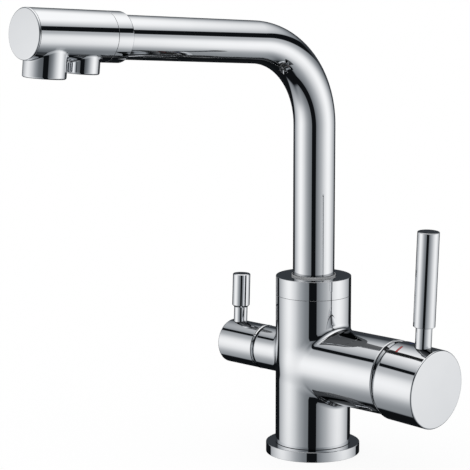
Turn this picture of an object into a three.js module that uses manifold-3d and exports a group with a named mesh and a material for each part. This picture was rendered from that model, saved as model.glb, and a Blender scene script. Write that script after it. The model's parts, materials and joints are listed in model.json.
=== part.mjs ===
// A deck-mounted kitchen tap with three waters: hot and cold mixed by the lever on its right, and filtered
// water from the small quarter-turn valve on its left. The swivel spout carries both waters separately to
// two outlets under its head. Millimetres, +Z up. The origin is on the body's axis at the deck; the mixer
// branch runs along +X, the filter branch along -X, and the spout reaches forward, to -Y.
import * as THREE from "three";
import { mergeVertices } from "three/addons/utils/BufferGeometryUtils.js";
import Module from "manifold-3d";

const wasm = await Module();
wasm.setup();

// ---------------------------------------------------------------------------------- driving dimensions

// Clearances
const seatGap = 0.3; // between pieces that touch or screw together
const runGap = 0.4; // round a piece that turns inside another
const socketGap = 0.5; // round a spigot in a socket, and between screw threads

// Base
const flangeRim = 6.4; // how far the flange stands out round the body
const flangeThickness = 7;
const flangeEdge = 0.5;
const footStep = 3.4; // the body's spigot inside the flange is this much smaller than the body
const sealMargin = 2.6; // from the seal to the flange's edge
const sealWidth = 3;
const sealDepth = 1.8;

// Body
const bodyTop = 109.1;
const collarThreadStep = 5.4; // the collar nut's thread is this much smaller than the body
const collarThreadDepth = 10;
const chamberRadius = 12; // seal bore of the spout's foot
const chamberDepth = 25.4; // from the body's top
const filterSocketRadius = 4.8;
const filterSocketDepth = 18;
const tubeSealSeatRadius = 6.4;
const tubeSealSeatDepth = 2.5;

// Inlet sockets and stud holes in the body's underside
const inletRadius = 4.7; // M10 x 1 tails
const inletDepth = 18;
const channelRadius = 3.4;
const mixedChannelRadius = 2.4;
const mixedChannelInset = 0.2; // from the chamber's wall
const filterChannelRadius = 2.2;
const inletPlaces = { hot: [8, 9], cold: [8, -9], filter: [-11, 0] };
const studRadius = 4; // M8 fixing studs
const studDepth = 16;
const studEdge = 2.03; // metal between a stud's hole and the foot's edge
const studAngles = [112.1, -112.1]; // degrees round from +X

// Collar nut and swivel
const collarHeight = 12.6;
const collarEdge = 0.3;
const bushWall = 0.5;
const bushProud = 1.1; // the thin ring seen round the riser
const slipRingHeight = 1.3;
const slipRingInset = 0.1; // from the foot's flange
const footFlangeHeight = 3;
const footFlangeStep = 1.9; // over the tube
const footNeckLength = 16;
const footClearance = 0.6; // over the chamber's floor
const footBoreRadius = 8.2;
const footGrooveDepth = 1.8;
const footGrooveWidth = 2.4;
const footGrooveHeights = [3.2, 8.6]; // above the foot's lower end
const oRingSection = 0.8; // radius of a spout seal's section

// Spout
const tubeRadius = 14;
const tubeWall = 1.2;
const bendRadius = 59.6;
const armCrossing = 278; // height at which the riser's and the arm's centrelines cross
const armRise = 5.5; // degrees, towards the tip
const spoutSwing = -6.1; // degrees, as it stands; 0 points straight forward
const armLength = 238.2; // from that crossing to the head's end face
const filterTubeRadius = 4;
const filterTubeBore = 2.6;
const filterTubeFoot = 8; // its lower end above the socket's floor

// Spout head, measured back from its end face
const headStep = 2.1; // over the tube
const headCollarLength = 12.4;
const headWall = 2.9;
const headEndThickness = 1.2;
const headEndSpigot = 4.4;
const headEndChamfer = 0.3;
const tubeIntoHead = 6;
const edgeRound = 1.2;

// Outlets under the head
const outletWall = 2.3;
const mainOutletRadius = 13.6;
const mainOutletReach = 10.5; // below the head
const filterOutletRadius = 11.2;
const filterOutletReach = 7.2;
const outletGap = 3.3; // between the two
const outletEndMargin = 3.8; // from the head's end face to the main outlet
const outletCollarMargin = 3.9; // from the filter outlet to the head's collar
const outletSealHeight = 1.5;
const outletSealWall = 2.1;
const outletSealInset = 0.1; // from the insert's edge
const aeratorHeight = 10;
const aeratorWall = 1.4;
const screenThickness = 1.6;
const screenRecess = 1.2; // inside the housing's lip
const screenPitch = 3.5; // between its rings of holes
const sprayHoleRadius = 1.1;
const filterInsertHeight = 6.6;
const filterInsertPitch = 4.2;
const aeratorRecess = 0.7; // how far each insert sits inside its outlet's lip
const elbowTop = 6; // of the filter outlet's elbow, above the arm's centreline

// Mixer branch, measured along +X from the body's axis
const mixerHeight = 62.8;
const mixerBranchWall = 3.7; // round the dome ring's skirt
const mixerBranchEnd = 72.3;
const mixerBranchRound = 1;
const mixerPocketDepth = 44.7;
const cartridgeRadius = 17.5;
const cartridgeLength = 28.8; // from the pocket's floor to the shoulder the nut bears on
const nutLength = 8.7;
const nutThreadStep = 2; // over the cartridge
const nutKeySize = 27.6; // across the flats
const nutKeyDepth = 5.2;
const domeSkirtStep = 2.2; // over the nut's thread
const domeSkirtWall = 1.7;
const domeSkirtDepth = 5.3;
const domeThickness = 1.8;
const domeMouthAngle = 33; // degrees off the axis, clear of the tilted stem
const domeSetback = 0.1; // of its face from the branch's corner

// Mixer handle: it tilts about a cross pin on the branch's axis
const pivotInRotor = 6.4; // from the rotor's inner face
const handleTilt = 2.4; // degrees outward, as it stands closed
const handleRange = 20; // degrees it lifts from there
const capStep = 1; // over the branch
const capLength = 30; // from its inner edge's rounding to its end face
const capSetback = 5.1; // of that rounding from the branch's end
const capRound = 4;
const capWall = 3.9;
const capEndWall = 4;
const capEdge = 0.5;
const capRunGap = 0.6; // between the cap's hollow and the branch's end and dome
const hubRadius = 9.5;
const hubSetback = 0.3; // of its face, behind the cap's hollow
const leverBossRadius = 7.6;
const screwBossRadius = 5.2;
const bossOverlap = 2; // into the hub
const stemRadius = 4;
const stemFromEnd = 10.2; // its outer end, back from the cap's end face
const stemArm = 8.8; // from the pivot to the ball
const ballRadius = 2.4;
const stemArmRadius = 1.8;
const ballNeck = 1.9; // from the ball's middle to its neck
const stemShoulder = 4.5; // from the pivot to where the stem widens
const shoulderRelief = 0.9;
const pinRadius = 1.5;
const pinInset = 2; // of its ends, from the cartridge's bore
const leverFromEnd = 12.9; // its axis, back from the cap's end face
const leverGripRadius = 7.3;
const leverNeckRadius = 5.45;
const leverStudRadius = 4;
const leverNeckShown = 13.6; // between the cap and the grip
const leverGripLength = 63.2;
const leverNeckSunk = 6.4; // into the cap
const leverStudLength = 7;
const leverEdge = 0.5;
const setScrewFromEnd = 16.9;
const setScrewRadius = 2.5;
const setScrewLength = 6;
const keyShare = 0.45; // of a set screw's length
const markFromEnd = 24.8;
const markWidth = 1.2;
const markDepth = 0.7;
const hotMarkArc = [15.3, 29.3]; // degrees round the cap, from the lever towards the front
const coldMarkArc = [-16.3, -2.3];

// Ceramic cartridge
const discThickness = 3.2;
const portSealThickness = 1;
const portSealInset = 1.5; // from the pocket's wall
const portStep = 0.2; // a port is this much wider in each plate further from the discs
const cartridgeBaseThickness = 2;
const cartridgeWall = 2.3;
const cartridgeMouthRadius = 9;
const cartridgeNeckRadius = 12.5;
const cartridgeNeckLength = 2.5;
const movingDiscMargin = 4; // room round the moving disc for its travel
const carrierThickness = 4.5;
const railHeight = 1.6; // into the rotor
const railSpacing = 5.2;
const carrierRails = [8.2, 8.6]; // over both rails, across and along the slot
const rotorGap = 0.6;
const rotorThickness = 9.6;
const rotorSlot = [8.8, 17.4];
const mixingPocketRadius = 5.6; // in the moving disc's face
const mixingPocketDepth = 1.6;
const portRadius = 2.2;
const hotPort = [5.8, 6.2]; // across and above the cartridge's axis; cold mirrors it
const mixedPort = [0, -2.6];
const mixedPortRadius = 2.4;

// Filter branch, measured along -X from the body's axis
const filterHeight = 65.8;
const filterBranchWall = 4.4; // round the valve's pocket
const filterBranchReach = 17.2; // beyond the body's side
const filterBranchRound = 2;
const filterPocketDepth = 18.6;
const valveRadius = 10.3;
const valveBoreRadius = 8.2;
const valveBoreLength = 10.4;
const valveNeckRadius = 7;
const valveNeckLength = 3.5; // inside the cap
const valveSealThickness = 1.2;
const valveSealWall = 3.4;
const valveSealInset = 0.2; // from the valve's edge
const valveDiscThickness = 2.4;
const valvePortOffset = 4.8;
const valvePortRadius = 2;
const spindleRadius = 4;
const trimRingLength = 1.3;
const trimRingProud = 0.2;
const trimRingChamfer = 0.3;

// Filter handle
const filterLean = 2; // degrees towards the back, as it stands closed
const filterCapLength = 30.7;
const filterCapRound = 1.2;
const filterCapChamfer = 0.2; // at its inner edge
const filterCapWall = 2.2;
const filterCapHollow = 8;
const spindleFromEnd = 14.2; // its outer end, back from the cap's end face
const filterLeverFromEnd = 7.2;
const filterGripRadius = 6.05;
const filterNeckRadius = 4.65;
const filterStudRadius = 3;
const filterNeckShown = 9.4;
const filterGripLength = 23.6;
const filterNeckSunk = 3.5;
const filterStudLength = 5;
const filterGripChamfer = 1.6;
const filterScrewFromEnd = 19.2;
const filterScrewRadius = 2;
const filterScrewLength = 5;

// How far a cutter runs past the faces it cuts
const past = 1;

// Facets round a full turn, or round a bend
const drilled = 12;
const coarse = 16;
const fine = 20;
const finest = 32;
const tubeFacets = 28;
const innerTubeFacets = 10;
const bendSteps = 12;

// --------------------------------------------------------------------------------------------- finishes

const finish = (color, roughness, metalness) =>
  new THREE.MeshStandardMaterial({ color, roughness, metalness });
const chrome = finish(0xd6d9dc, 0.05, 1);
const brass = finish(0xb8923e, 0.3, 1);
const steel = finish(0xa8abad, 0.25, 1);
const rubber = finish(0x17181a, 0.75, 0);
const whitePlastic = finish(0xe6e6e2, 0.45, 0);
const greyPlastic = finish(0x8e9296, 0.5, 0);
const ceramic = finish(0xf0eee8, 0.2, 0);
const redEnamel = finish(0xb3201f, 0.35, 0);
const blueEnamel = finish(0x1f3f9c, 0.35, 0);

// ---------------------------------------------------------------------------------------- solid helpers

const X = new THREE.Vector3(1, 0, 0);
const Y = new THREE.Vector3(0, 1, 0);
const Z = new THREE.Vector3(0, 0, 1);
const minusX = X.clone().negate();
const minusY = Y.clone().negate();
const minusZ = Z.clone().negate();
const weldDistance = 1e-3;
const degrees = THREE.MathUtils.degToRad;

// A closed geometry as a solid that can be joined and cut.
function toSolid(geometry) {
  const loose = geometry.index ? geometry.toNonIndexed() : geometry;
  const bare = new THREE.BufferGeometry();
  bare.setAttribute("position", loose.getAttribute("position"));
  const merged = mergeVertices(bare, weldDistance);
  const corners = merged.index.array;
  const kept = [];
  for (let i = 0; i < corners.length; i += 3) {
    const [a, b, c] = [corners[i], corners[i + 1], corners[i + 2]];
    if (a !== b && b !== c && c !== a) kept.push(a, b, c);
  }
  const vertProperties = merged.attributes.position.array;
  const build = (triangles) =>
    new wasm.Manifold(
      new wasm.Mesh({
        numProp: 3,
        vertProperties,
        triVerts: new Uint32Array(triangles),
      }),
    );
  const solid = build(kept);
  return solid.volume() < 0 ? build(kept.reverse()) : solid;
}

// The solid's surface as a geometry for a mesh.
function toGeometry(solid) {
  const { numProp, numVert, vertProperties, triVerts } = solid.getMesh();
  const places = new Float32Array(numVert * 3);
  for (let i = 0; i < numVert; i++) {
    places.set(vertProperties.subarray(i * numProp, i * numProp + 3), i * 3);
  }
  const geometry = new THREE.BufferGeometry();
  geometry.setAttribute("position", new THREE.BufferAttribute(places, 3));
  geometry.setIndex(new THREE.BufferAttribute(new Uint32Array(triVerts), 1));
  const flat = geometry.toNonIndexed();
  flat.computeVertexNormals();
  return flat;
}

// Turns a profile of [radius, distance along the axis] pairs about an axis through the origin.
function turned(profile, axis, facets) {
  const points = profile.map(([radius, along]) => new THREE.Vector2(radius, along));
  const geometry = new THREE.LatheGeometry(points, facets);
  geometry.applyQuaternion(new THREE.Quaternion().setFromUnitVectors(Y, axis));
  return toSolid(geometry);
}

const rod = (radius, from, to, axis, facets = fine) =>
  turned([[0, from], [radius, from], [radius, to], [0, to]], axis, facets);

const ring = (inner, outer, from, to, axis, facets = fine) =>
  turned([[inner, from], [outer, from], [outer, to], [inner, to], [inner, from]], axis, facets);

// Points of an arc in a profile; 0 degrees points outward and 90 degrees along the axis.
function arc(centreRadius, centreAlong, radius, from, to, steps) {
  const points = [];
  for (let i = 0; i <= steps; i++) {
    const angle = degrees(from + ((to - from) * i) / steps);
    points.push([centreRadius + radius * Math.cos(angle), centreAlong + radius * Math.sin(angle)]);
  }
  return points;
}

const box = (width, depth, height) => toSolid(new THREE.BoxGeometry(width, depth, height));

const oRing = (ringRadius, sectionRadius, at, axis) =>
  turned(arc(ringRadius, at, sectionRadius, 0, 360, 6), axis, fine);

// A hexagonal prism across its flats, for a screw's key socket.
const hexSocket = (acrossFlats, from, to, axis) =>
  rod(acrossFlats / Math.sqrt(3), from, to, axis, 6);

// A grub screw on an axis, its key socket at the far end.
function grubScrew(radius, from, length, axis) {
  const keyDepth = length * keyShare;
  const shank = rod(radius, from, from + length, axis, coarse);
  return shank.subtract(hexSocket(radius, from + length - keyDepth, from + length + past, axis));
}

function addPart(group, name, solid, material) {
  const mesh = new THREE.Mesh(toGeometry(solid), material);
  mesh.name = name;
  group.add(mesh);
}

// ------------------------------------------------------------------------------------- derived places

const nutThreadRadius = cartridgeRadius + nutThreadStep;
const domeSkirtRadius = nutThreadRadius + domeSkirtStep;
const mixerBranchRadius = domeSkirtRadius + mixerBranchWall;
const bodyRadius = mixerBranchRadius; // body and branch are turned alike

// base and body
const flangeRadius = bodyRadius + flangeRim;
const footRadius = bodyRadius - footStep;
const sealOuterRadius = flangeRadius - sealMargin;
const studCircle = footRadius - studRadius - studEdge;

// collar and swivel
const collarThreadRadius = bodyRadius - collarThreadStep;
const collarTop = bodyTop + seatGap + collarHeight;
const ledge = bodyTop - collarThreadDepth; // the shoulder that carries the spout's foot
const chamberFloor = bodyTop - chamberDepth;
const footFlangeTop = ledge + seatGap + footFlangeHeight;
const tubeFoot = footFlangeTop + seatGap;
const slipRingTop = tubeFoot + slipRingHeight;
const footRadiusInTube = tubeRadius - tubeWall - seatGap;
const footFlangeRadius = tubeRadius + footFlangeStep;

// spout head
const headRadius = tubeRadius + headStep;
const mainOutlet = {
  back: outletEndMargin + mainOutletRadius, // from the end face to its axis
  radius: mainOutletRadius,
  drop: headRadius + mainOutletReach, // from the arm's centreline to its lip
};
const filterOutlet = {
  back: mainOutlet.back + mainOutletRadius + outletGap + filterOutletRadius,
  radius: filterOutletRadius,
  drop: headRadius + filterOutletReach,
};
const headLength = filterOutlet.back + filterOutletRadius + outletCollarMargin;

// mixer cartridge, from the floor of its pocket outward
const mixerSeat = mixerBranchEnd - mixerPocketDepth;
const portSealStart = mixerSeat + seatGap;
const cartridgeStart = portSealStart + portSealThickness + seatGap;
const fixedDiscStart = cartridgeStart + cartridgeBaseThickness + seatGap;
const movingDiscStart = fixedDiscStart + discThickness + seatGap;
const carrierStart = movingDiscStart + discThickness + seatGap;
const rotorStart = carrierStart + carrierThickness + rotorGap;
const cartridgeShoulder = mixerSeat + cartridgeLength; // where the nut bears on the cartridge
const cavityRadius = cartridgeRadius - cartridgeWall;
const movingDiscRadius = cavityRadius - movingDiscMargin;
const pivotPlace = rotorStart + pivotInRotor;

// mixer handle; its places are measured from the pivot
const branchRoundStart = mixerBranchEnd - mixerBranchRound;
const cornerRadius = Math.hypot(
  branchRoundStart - pivotPlace,
  mixerBranchRadius - mixerBranchRound,
) + mixerBranchRound; // of the branch's end edge, from the pivot
const hollowRadius = cornerRadius + capRunGap; // the cap's spherical hollow round the pivot
const domeRadius = cornerRadius - domeSetback;
const capRadius = mixerBranchRadius + capStep;
const capStart = mixerBranchEnd + capSetback - pivotPlace;
const capEnd = capStart + capLength;
const stemReach = capEnd - stemFromEnd;
const leverPlace = capEnd - leverFromEnd;
const setScrewPlace = capEnd - setScrewFromEnd;
const markPlace = capEnd - markFromEnd;
const leverNeckFoot = capRadius - leverNeckSunk;
const leverStudFoot = leverNeckFoot - leverStudLength;
const leverStep = capRadius + leverNeckShown;
const leverTop = leverStep + leverGripLength;

// filter valve and its handle, from the body's axis outward
const filterBranchRadius = valveRadius + seatGap + filterBranchWall;
const filterBranchEnd = bodyRadius + filterBranchReach;
const filterRoundStart = filterBranchEnd - filterBranchRound;
const filterSeat = filterBranchEnd - filterPocketDepth;
const trimRingStart = filterBranchEnd + seatGap;
const filterCapStart = trimRingStart + trimRingLength + seatGap;
const filterCapEnd = filterCapStart + filterCapLength;
const valveNeckEnd = filterCapStart + valveNeckLength;
const spindleReach = filterCapEnd - spindleFromEnd;
const filterLeverPlace = filterCapEnd - filterLeverFromEnd;
const filterScrewPlace = filterCapEnd - filterScrewFromEnd;
const filterNeckFoot = filterBranchRadius - filterNeckSunk;
const filterStudFoot = filterNeckFoot - filterStudLength;
const filterLeverStep = filterBranchRadius + filterNeckShown;
const filterLeverTop = filterLeverStep + filterGripLength;

// ------------------------------------------------------------------------------------------------- base

function baseFlange() {
  const grooveTop = sealDepth + seatGap;
  const groove = ring(
    sealOuterRadius - sealWidth - seatGap,
    sealOuterRadius + seatGap,
    -past,
    grooveTop,
    Z,
    finest,
  );
  const plate = turned(
    [
      [footRadius + seatGap, 0],
      [flangeRadius, 0],
      ...arc(flangeRadius - flangeEdge, flangeThickness - flangeEdge, flangeEdge, 0, 90, 2),
      [footRadius + seatGap, flangeThickness],
      [footRadius + seatGap, 0],
    ],
    Z,
    finest,
  );
  return plate.subtract(groove);
}

const baseSeal = () => ring(sealOuterRadius - sealWidth, sealOuterRadius, 0, sealDepth, Z, finest);

// ------------------------------------------------------------------------------------------------- body

// Drilled channels that lead each water from its inlet to its valve and on to the spout.
function waterways() {
  const drill = (radius, from, to, axis, place) =>
    rod(radius, from, to, axis, drilled).translate(place);
  const cuts = [];
  for (const [x, y] of Object.values(inletPlaces)) {
    cuts.push(rod(inletRadius, -past, inletDepth, Z, coarse).translate([x, y, 0]));
  }
  for (const angle of studAngles) {
    const [x, y] = [studCircle * Math.cos(degrees(angle)), studCircle * Math.sin(degrees(angle))];
    cuts.push(rod(studRadius, -past, studDepth, Z, coarse).translate([x, y, 0]));
  }
  for (const [x, y] of [inletPlaces.hot, inletPlaces.cold]) {
    const height = mixerHeight + hotPort[1];
    cuts.push(drill(channelRadius, inletDepth - past, height, Z, [x, y, 0]));
    cuts.push(drill(portRadius, x, mixerSeat + past, X, [0, Math.sign(y) * hotPort[0], height]));
  }
  const mixedX = chamberRadius - mixedChannelRadius - mixedChannelInset;
  const mixedHeight = mixerHeight + mixedPort[1];
  cuts.push(drill(mixedChannelRadius, mixedHeight, chamberFloor + past, Z, [mixedX, 0, 0]));
  cuts.push(drill(mixedChannelRadius, mixedX, mixerSeat + past, X, [0, 0, mixedHeight]));
  const [filterX, filterY] = inletPlaces.filter;
  const inHeight = filterHeight - valvePortOffset;
  const outHeight = filterHeight + valvePortOffset;
  cuts.push(drill(filterChannelRadius, inletDepth - past, inHeight, Z, [filterX, filterY, 0]));
  cuts.push(drill(filterChannelRadius, -filterX, filterSeat + past, minusX, [0, filterY, inHeight]));
  cuts.push(drill(filterChannelRadius, 0, filterSeat + past, minusX, [0, 0, outHeight]));
  return cuts;
}

function tapBody() {
  const column = turned(
    [
      [0, 0],
      [footRadius, 0],
      [footRadius, flangeThickness + seatGap],
      [bodyRadius, flangeThickness + seatGap],
      [bodyRadius, bodyTop],
      [0, bodyTop],
    ],
    Z,
    finest,
  );
  const mixerBranch = turned(
    [
      [0, 0],
      [mixerBranchRadius, 0],
      ...arc(mixerBranchRadius - mixerBranchRound, branchRoundStart, mixerBranchRound, 0, 90, 2),
      [0, mixerBranchEnd],
    ],
    X,
    finest,
  ).translate([0, 0, mixerHeight]);
  const filterBranch = turned(
    [
      [0, 0],
      [filterBranchRadius, 0],
      ...arc(filterBranchRadius - filterBranchRound, filterRoundStart, filterBranchRound, 0, 90, 3),
      [0, filterBranchEnd],
    ],
    minusX,
    finest,
  ).translate([0, 0, filterHeight]);
  const cartridgePocket = turned(
    [
      [0, mixerSeat],
      [cartridgeRadius + runGap, mixerSeat],
      [cartridgeRadius + runGap, cartridgeShoulder],
      [nutThreadRadius + seatGap, cartridgeShoulder],
      [nutThreadRadius + seatGap, mixerBranchEnd - domeSkirtDepth - seatGap],
      [domeSkirtRadius + seatGap, mixerBranchEnd - domeSkirtDepth - seatGap],
      [domeSkirtRadius + seatGap, mixerBranchEnd + past],
      [0, mixerBranchEnd + past],
    ],
    X,
    finest,
  ).translate([0, 0, mixerHeight]);
  const valvePocket = rod(valveRadius + seatGap, filterSeat, filterBranchEnd + past, minusX).translate([
    0, 0, filterHeight,
  ]);
  const spoutBore = turned(
    [
      [0, chamberFloor - filterSocketDepth],
      [filterSocketRadius, chamberFloor - filterSocketDepth],
      [filterSocketRadius, chamberFloor - tubeSealSeatDepth],
      [tubeSealSeatRadius, chamberFloor - tubeSealSeatDepth],
      [tubeSealSeatRadius, chamberFloor],
      [chamberRadius, chamberFloor],
      [chamberRadius, ledge],
      [collarThreadRadius + socketGap, ledge],
      [collarThreadRadius + socketGap, bodyTop + past],
      [0, bodyTop + past],
    ],
    Z,
    fine,
  );
  let body = column.add(mixerBranch).add(filterBranch);
  for (const cut of [cartridgePocket, valvePocket, spoutBore, ...waterways()]) {
    body = body.subtract(cut);
  }
  return body;
}

// --------------------------------------------------------------------------------- collar and swivel

const collarBore = () => tubeRadius + runGap + bushWall + seatGap;

const collarNut = () =>
  turned(
    [
      [footFlangeRadius + runGap, ledge + seatGap],
      [collarThreadRadius, ledge + seatGap],
      [collarThreadRadius, bodyTop + seatGap],
      [bodyRadius, bodyTop + seatGap],
      ...arc(bodyRadius - collarEdge, collarTop - collarEdge, collarEdge, 0, 90, 2),
      [collarBore(), collarTop],
      [collarBore(), slipRingTop + seatGap],
      [footFlangeRadius + runGap, slipRingTop + seatGap],
      [footFlangeRadius + runGap, ledge + seatGap],
    ],
    Z,
    finest,
  );

const swivelBush = () =>
  ring(
    tubeRadius + runGap,
    tubeRadius + runGap + bushWall,
    slipRingTop + seatGap,
    collarTop + bushProud,
    Z,
    finest,
  );

const slipRing = () =>
  ring(tubeRadius + runGap, footFlangeRadius - slipRingInset, tubeFoot, slipRingTop, Z, fine);

function spoutFoot() {
  const lowerEnd = chamberFloor + footClearance;
  const spigot = chamberRadius - runGap;
  const foot = turned(
    [
      [footBoreRadius, lowerEnd],
      [spigot, lowerEnd],
      [spigot, ledge + seatGap],
      [footFlangeRadius, ledge + seatGap],
      [footFlangeRadius, footFlangeTop],
      [footRadiusInTube, footFlangeTop],
      [footRadiusInTube, footFlangeTop + footNeckLength],
      [footBoreRadius, footFlangeTop + footNeckLength],
      [footBoreRadius, lowerEnd],
    ],
    Z,
    fine,
  );
  return footGrooveHeights.reduce((left, height) => {
    const from = lowerEnd + height;
    const groove = ring(spigot - footGrooveDepth, spigot + past, from, from + footGrooveWidth, Z);
    return left.subtract(groove);
  }, foot);
}

function spoutORing(index) {
  const middle = chamberFloor + footClearance + footGrooveHeights[index] + footGrooveWidth / 2;
  return oRing(chamberRadius - seatGap - oRingSection, oRingSection, middle, Z);
}

const filterTubeORing = () =>
  oRing(filterTubeRadius + runGap + oRingSection, oRingSection, chamberFloor - tubeSealSeatDepth / 2, Z);

// ------------------------------------------------------------------------------------------------ spout

// The spout's centreline: up the riser, round the bend and along the arm. It is sampled only where it
// starts to curve, curves, or ends, so that the straight runs are single steps.
class SpoutLine extends THREE.Curve {
  constructor(start, end) {
    super();
    const turn = Math.PI / 2 - degrees(armRise);
    const tangentLength = bendRadius * Math.tan(turn / 2);
    const bendStart = armCrossing - tangentLength;
    const armDirection = new THREE.Vector3(0, -Math.cos(degrees(armRise)), Math.sin(degrees(armRise)));
    this.places = [new THREE.Vector3(0, 0, start)];
    this.tangents = [Z.clone()];
    for (let i = 0; i <= bendSteps; i++) {
      const angle = (turn * i) / bendSteps;
      const outward = bendRadius * (Math.cos(angle) - 1);
      this.places.push(new THREE.Vector3(0, outward, bendStart + bendRadius * Math.sin(angle)));
      this.tangents.push(new THREE.Vector3(0, -Math.sin(angle), Math.cos(angle)));
    }
    this.places.push(armDirection.clone().multiplyScalar(end).add(new THREE.Vector3(0, 0, armCrossing)));
    this.tangents.push(armDirection);
  }

  get steps() {
    return this.places.length - 1;
  }

  getPointAt(u) {
    return this.places[Math.round(u * this.steps)].clone();
  }

  getTangentAt(u) {
    return this.tangents[Math.round(u * this.steps)].clone();
  }
}

// A pipe along the spout's centreline.
function pipe(outer, inner, line, facets) {
  const section = new THREE.Shape().absarc(0, 0, outer, 0, 2 * Math.PI);
  section.holes.push(new THREE.Path().absarc(0, 0, inner, 0, 2 * Math.PI, true));
  const settings = { steps: line.steps, extrudePath: line, curveSegments: facets / 2 };
  return toSolid(new THREE.ExtrudeGeometry(section, settings));
}

const spoutTube = () =>
  pipe(
    tubeRadius,
    tubeRadius - tubeWall,
    new SpoutLine(tubeFoot, armLength - headLength + tubeIntoHead),
    tubeFacets,
  );

const filterWaterTube = () =>
  pipe(
    filterTubeRadius,
    filterTubeBore,
    new SpoutLine(
      chamberFloor - filterSocketDepth + filterTubeFoot,
      armLength - filterOutlet.back - filterOutlet.radius / 2,
    ),
    innerTubeFacets,
  );

// ------------------------------------------------------------------------------------------- spout head

// Everything here is in the arm's own frame: the arm runs along -Y, and the outlets drop along -Z.
const headStart = armLength - headLength;
const headBore = headRadius - headWall;
const outletPlace = (outlet) => [0, outlet.back - armLength, 0];
const insertRadius = (outlet) => outlet.radius - outletWall - seatGap;

const headCollar = () =>
  turned(
    [
      [tubeRadius + seatGap, headStart - headCollarLength],
      ...arc(headRadius - edgeRound, headStart - headCollarLength + edgeRound, edgeRound, -90, 0, 2),
      [headRadius, headStart - seatGap],
      [tubeRadius + seatGap, headStart - seatGap],
      [tubeRadius + seatGap, headStart - headCollarLength],
    ],
    minusY,
    finest,
  );

function spoutHead() {
  const shellEnd = armLength - headEndThickness - seatGap;
  let head = rod(headRadius, headStart, shellEnd, minusY, finest);
  for (const outlet of [mainOutlet, filterOutlet]) {
    const stub = turned(
      [
        [0, 0],
        [outlet.radius, 0],
        ...arc(outlet.radius - edgeRound, outlet.drop - edgeRound, edgeRound, 0, 90, 2),
        [0, outlet.drop],
      ],
      minusZ,
      finest,
    );
    head = head.add(stub.translate(outletPlace(outlet)));
  }
  const tubeSeat = rod(tubeRadius + socketGap, headStart - past, headStart + tubeIntoHead + seatGap, minusY);
  head = head.subtract(tubeSeat).subtract(rod(headBore, headStart, shellEnd + past, minusY));
  for (const outlet of [mainOutlet, filterOutlet]) {
    const bore = rod(outlet.radius - outletWall, 0, outlet.drop + past, minusZ);
    head = head.subtract(bore.translate(outletPlace(outlet)));
  }
  return head;
}

const headEndPlug = () =>
  turned(
    [
      [0, armLength - headEndThickness - headEndSpigot],
      [headBore - socketGap, armLength - headEndThickness - headEndSpigot],
      [headBore - socketGap, armLength - headEndThickness],
      [headRadius, armLength - headEndThickness],
      [headRadius, armLength - headEndChamfer],
      [headRadius - headEndChamfer, armLength],
      [0, armLength],
    ],
    minusY,
    finest,
  );

const insertFoot = (outlet) => outlet.drop - aeratorRecess;
const mainInsertHead = mainOutlet.drop - aeratorRecess - aeratorHeight;
const filterInsertHead = filterOutlet.drop - aeratorRecess - filterInsertHeight;

// The elbow that takes filtered water from its tube down into the small outlet.
function filterOutletCore() {
  const radius = insertRadius(filterOutlet);
  const foot = filterInsertHead - outletSealHeight - 2 * seatGap;
  const [, y] = outletPlace(filterOutlet);
  const tubeSocket = rod(filterTubeRadius + seatGap, -y - radius - past, -y + past, minusY, coarse);
  const core = rod(radius, -elbowTop, foot, minusZ);
  const drop = rod(filterTubeBore, 0, foot + past, minusZ, drilled);
  return core.subtract(drop).translate([0, y, 0]).subtract(tubeSocket);
}

const outletSeal = (outlet, insertHead) =>
  ring(
    insertRadius(outlet) - outletSealInset - outletSealWall,
    insertRadius(outlet) - outletSealInset,
    insertHead - seatGap - outletSealHeight,
    insertHead - seatGap,
    minusZ,
    coarse,
  ).translate(outletPlace(outlet));

const aeratorHousing = () =>
  ring(
    insertRadius(mainOutlet) - aeratorWall,
    insertRadius(mainOutlet),
    mainInsertHead,
    insertFoot(mainOutlet),
    minusZ,
  ).translate(outletPlace(mainOutlet));

// Holes in rings about an insert's axis: one in the middle, then six, then twelve.
function perforated(radius, from, to, rings, pitch) {
  let plate = rod(radius, from, to, minusZ);
  for (let row = 0; row <= rings; row++) {
    const count = Math.max(1, 6 * row);
    for (let i = 0; i < count; i++) {
      const angle = (2 * Math.PI * i) / count;
      const place = [row * pitch * Math.cos(angle), row * pitch * Math.sin(angle), 0];
      plate = plate.subtract(rod(sprayHoleRadius, from - past, to + past, minusZ, 6).translate(place));
    }
  }
  return plate;
}

function aeratorScreen() {
  const radius = insertRadius(mainOutlet) - aeratorWall - seatGap;
  const foot = insertFoot(mainOutlet) - screenRecess;
  return perforated(radius, foot - screenThickness, foot, 2, screenPitch).translate(
    outletPlace(mainOutlet),
  );
}

const filterFlowInsert = () =>
  perforated(
    insertRadius(filterOutlet),
    filterInsertHead,
    insertFoot(filterOutlet),
    1,
    filterInsertPitch,
  ).translate(outletPlace(filterOutlet));

// -------------------------------------------------------------------------- mixer cartridge, on the branch

const discOffset = stemArm * Math.sin(degrees(handleTilt));

// A plate of the cartridge with its three ports, each wider than the waterway by the same amount.
function portedPlate(radius, from, thickness, portExcess) {
  const port = (portSize, [across, up]) =>
    rod(portSize + portExcess, from - past, from + thickness + past, X, drilled).translate([0, across, up]);
  return rod(radius, from, from + thickness, X)
    .subtract(port(portRadius, hotPort))
    .subtract(port(portRadius, [-hotPort[0], hotPort[1]]))
    .subtract(port(mixedPortRadius, mixedPort));
}

const mixerPortSeal = () =>
  portedPlate(cartridgeRadius - portSealInset, portSealStart, portSealThickness, 2 * portStep);

const mixerCartridgeBase = () =>
  portedPlate(cavityRadius - seatGap, cartridgeStart, cartridgeBaseThickness, portStep);

const mixerFixedDisc = () => portedPlate(cavityRadius - socketGap, fixedDiscStart, discThickness, 0);

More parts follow.
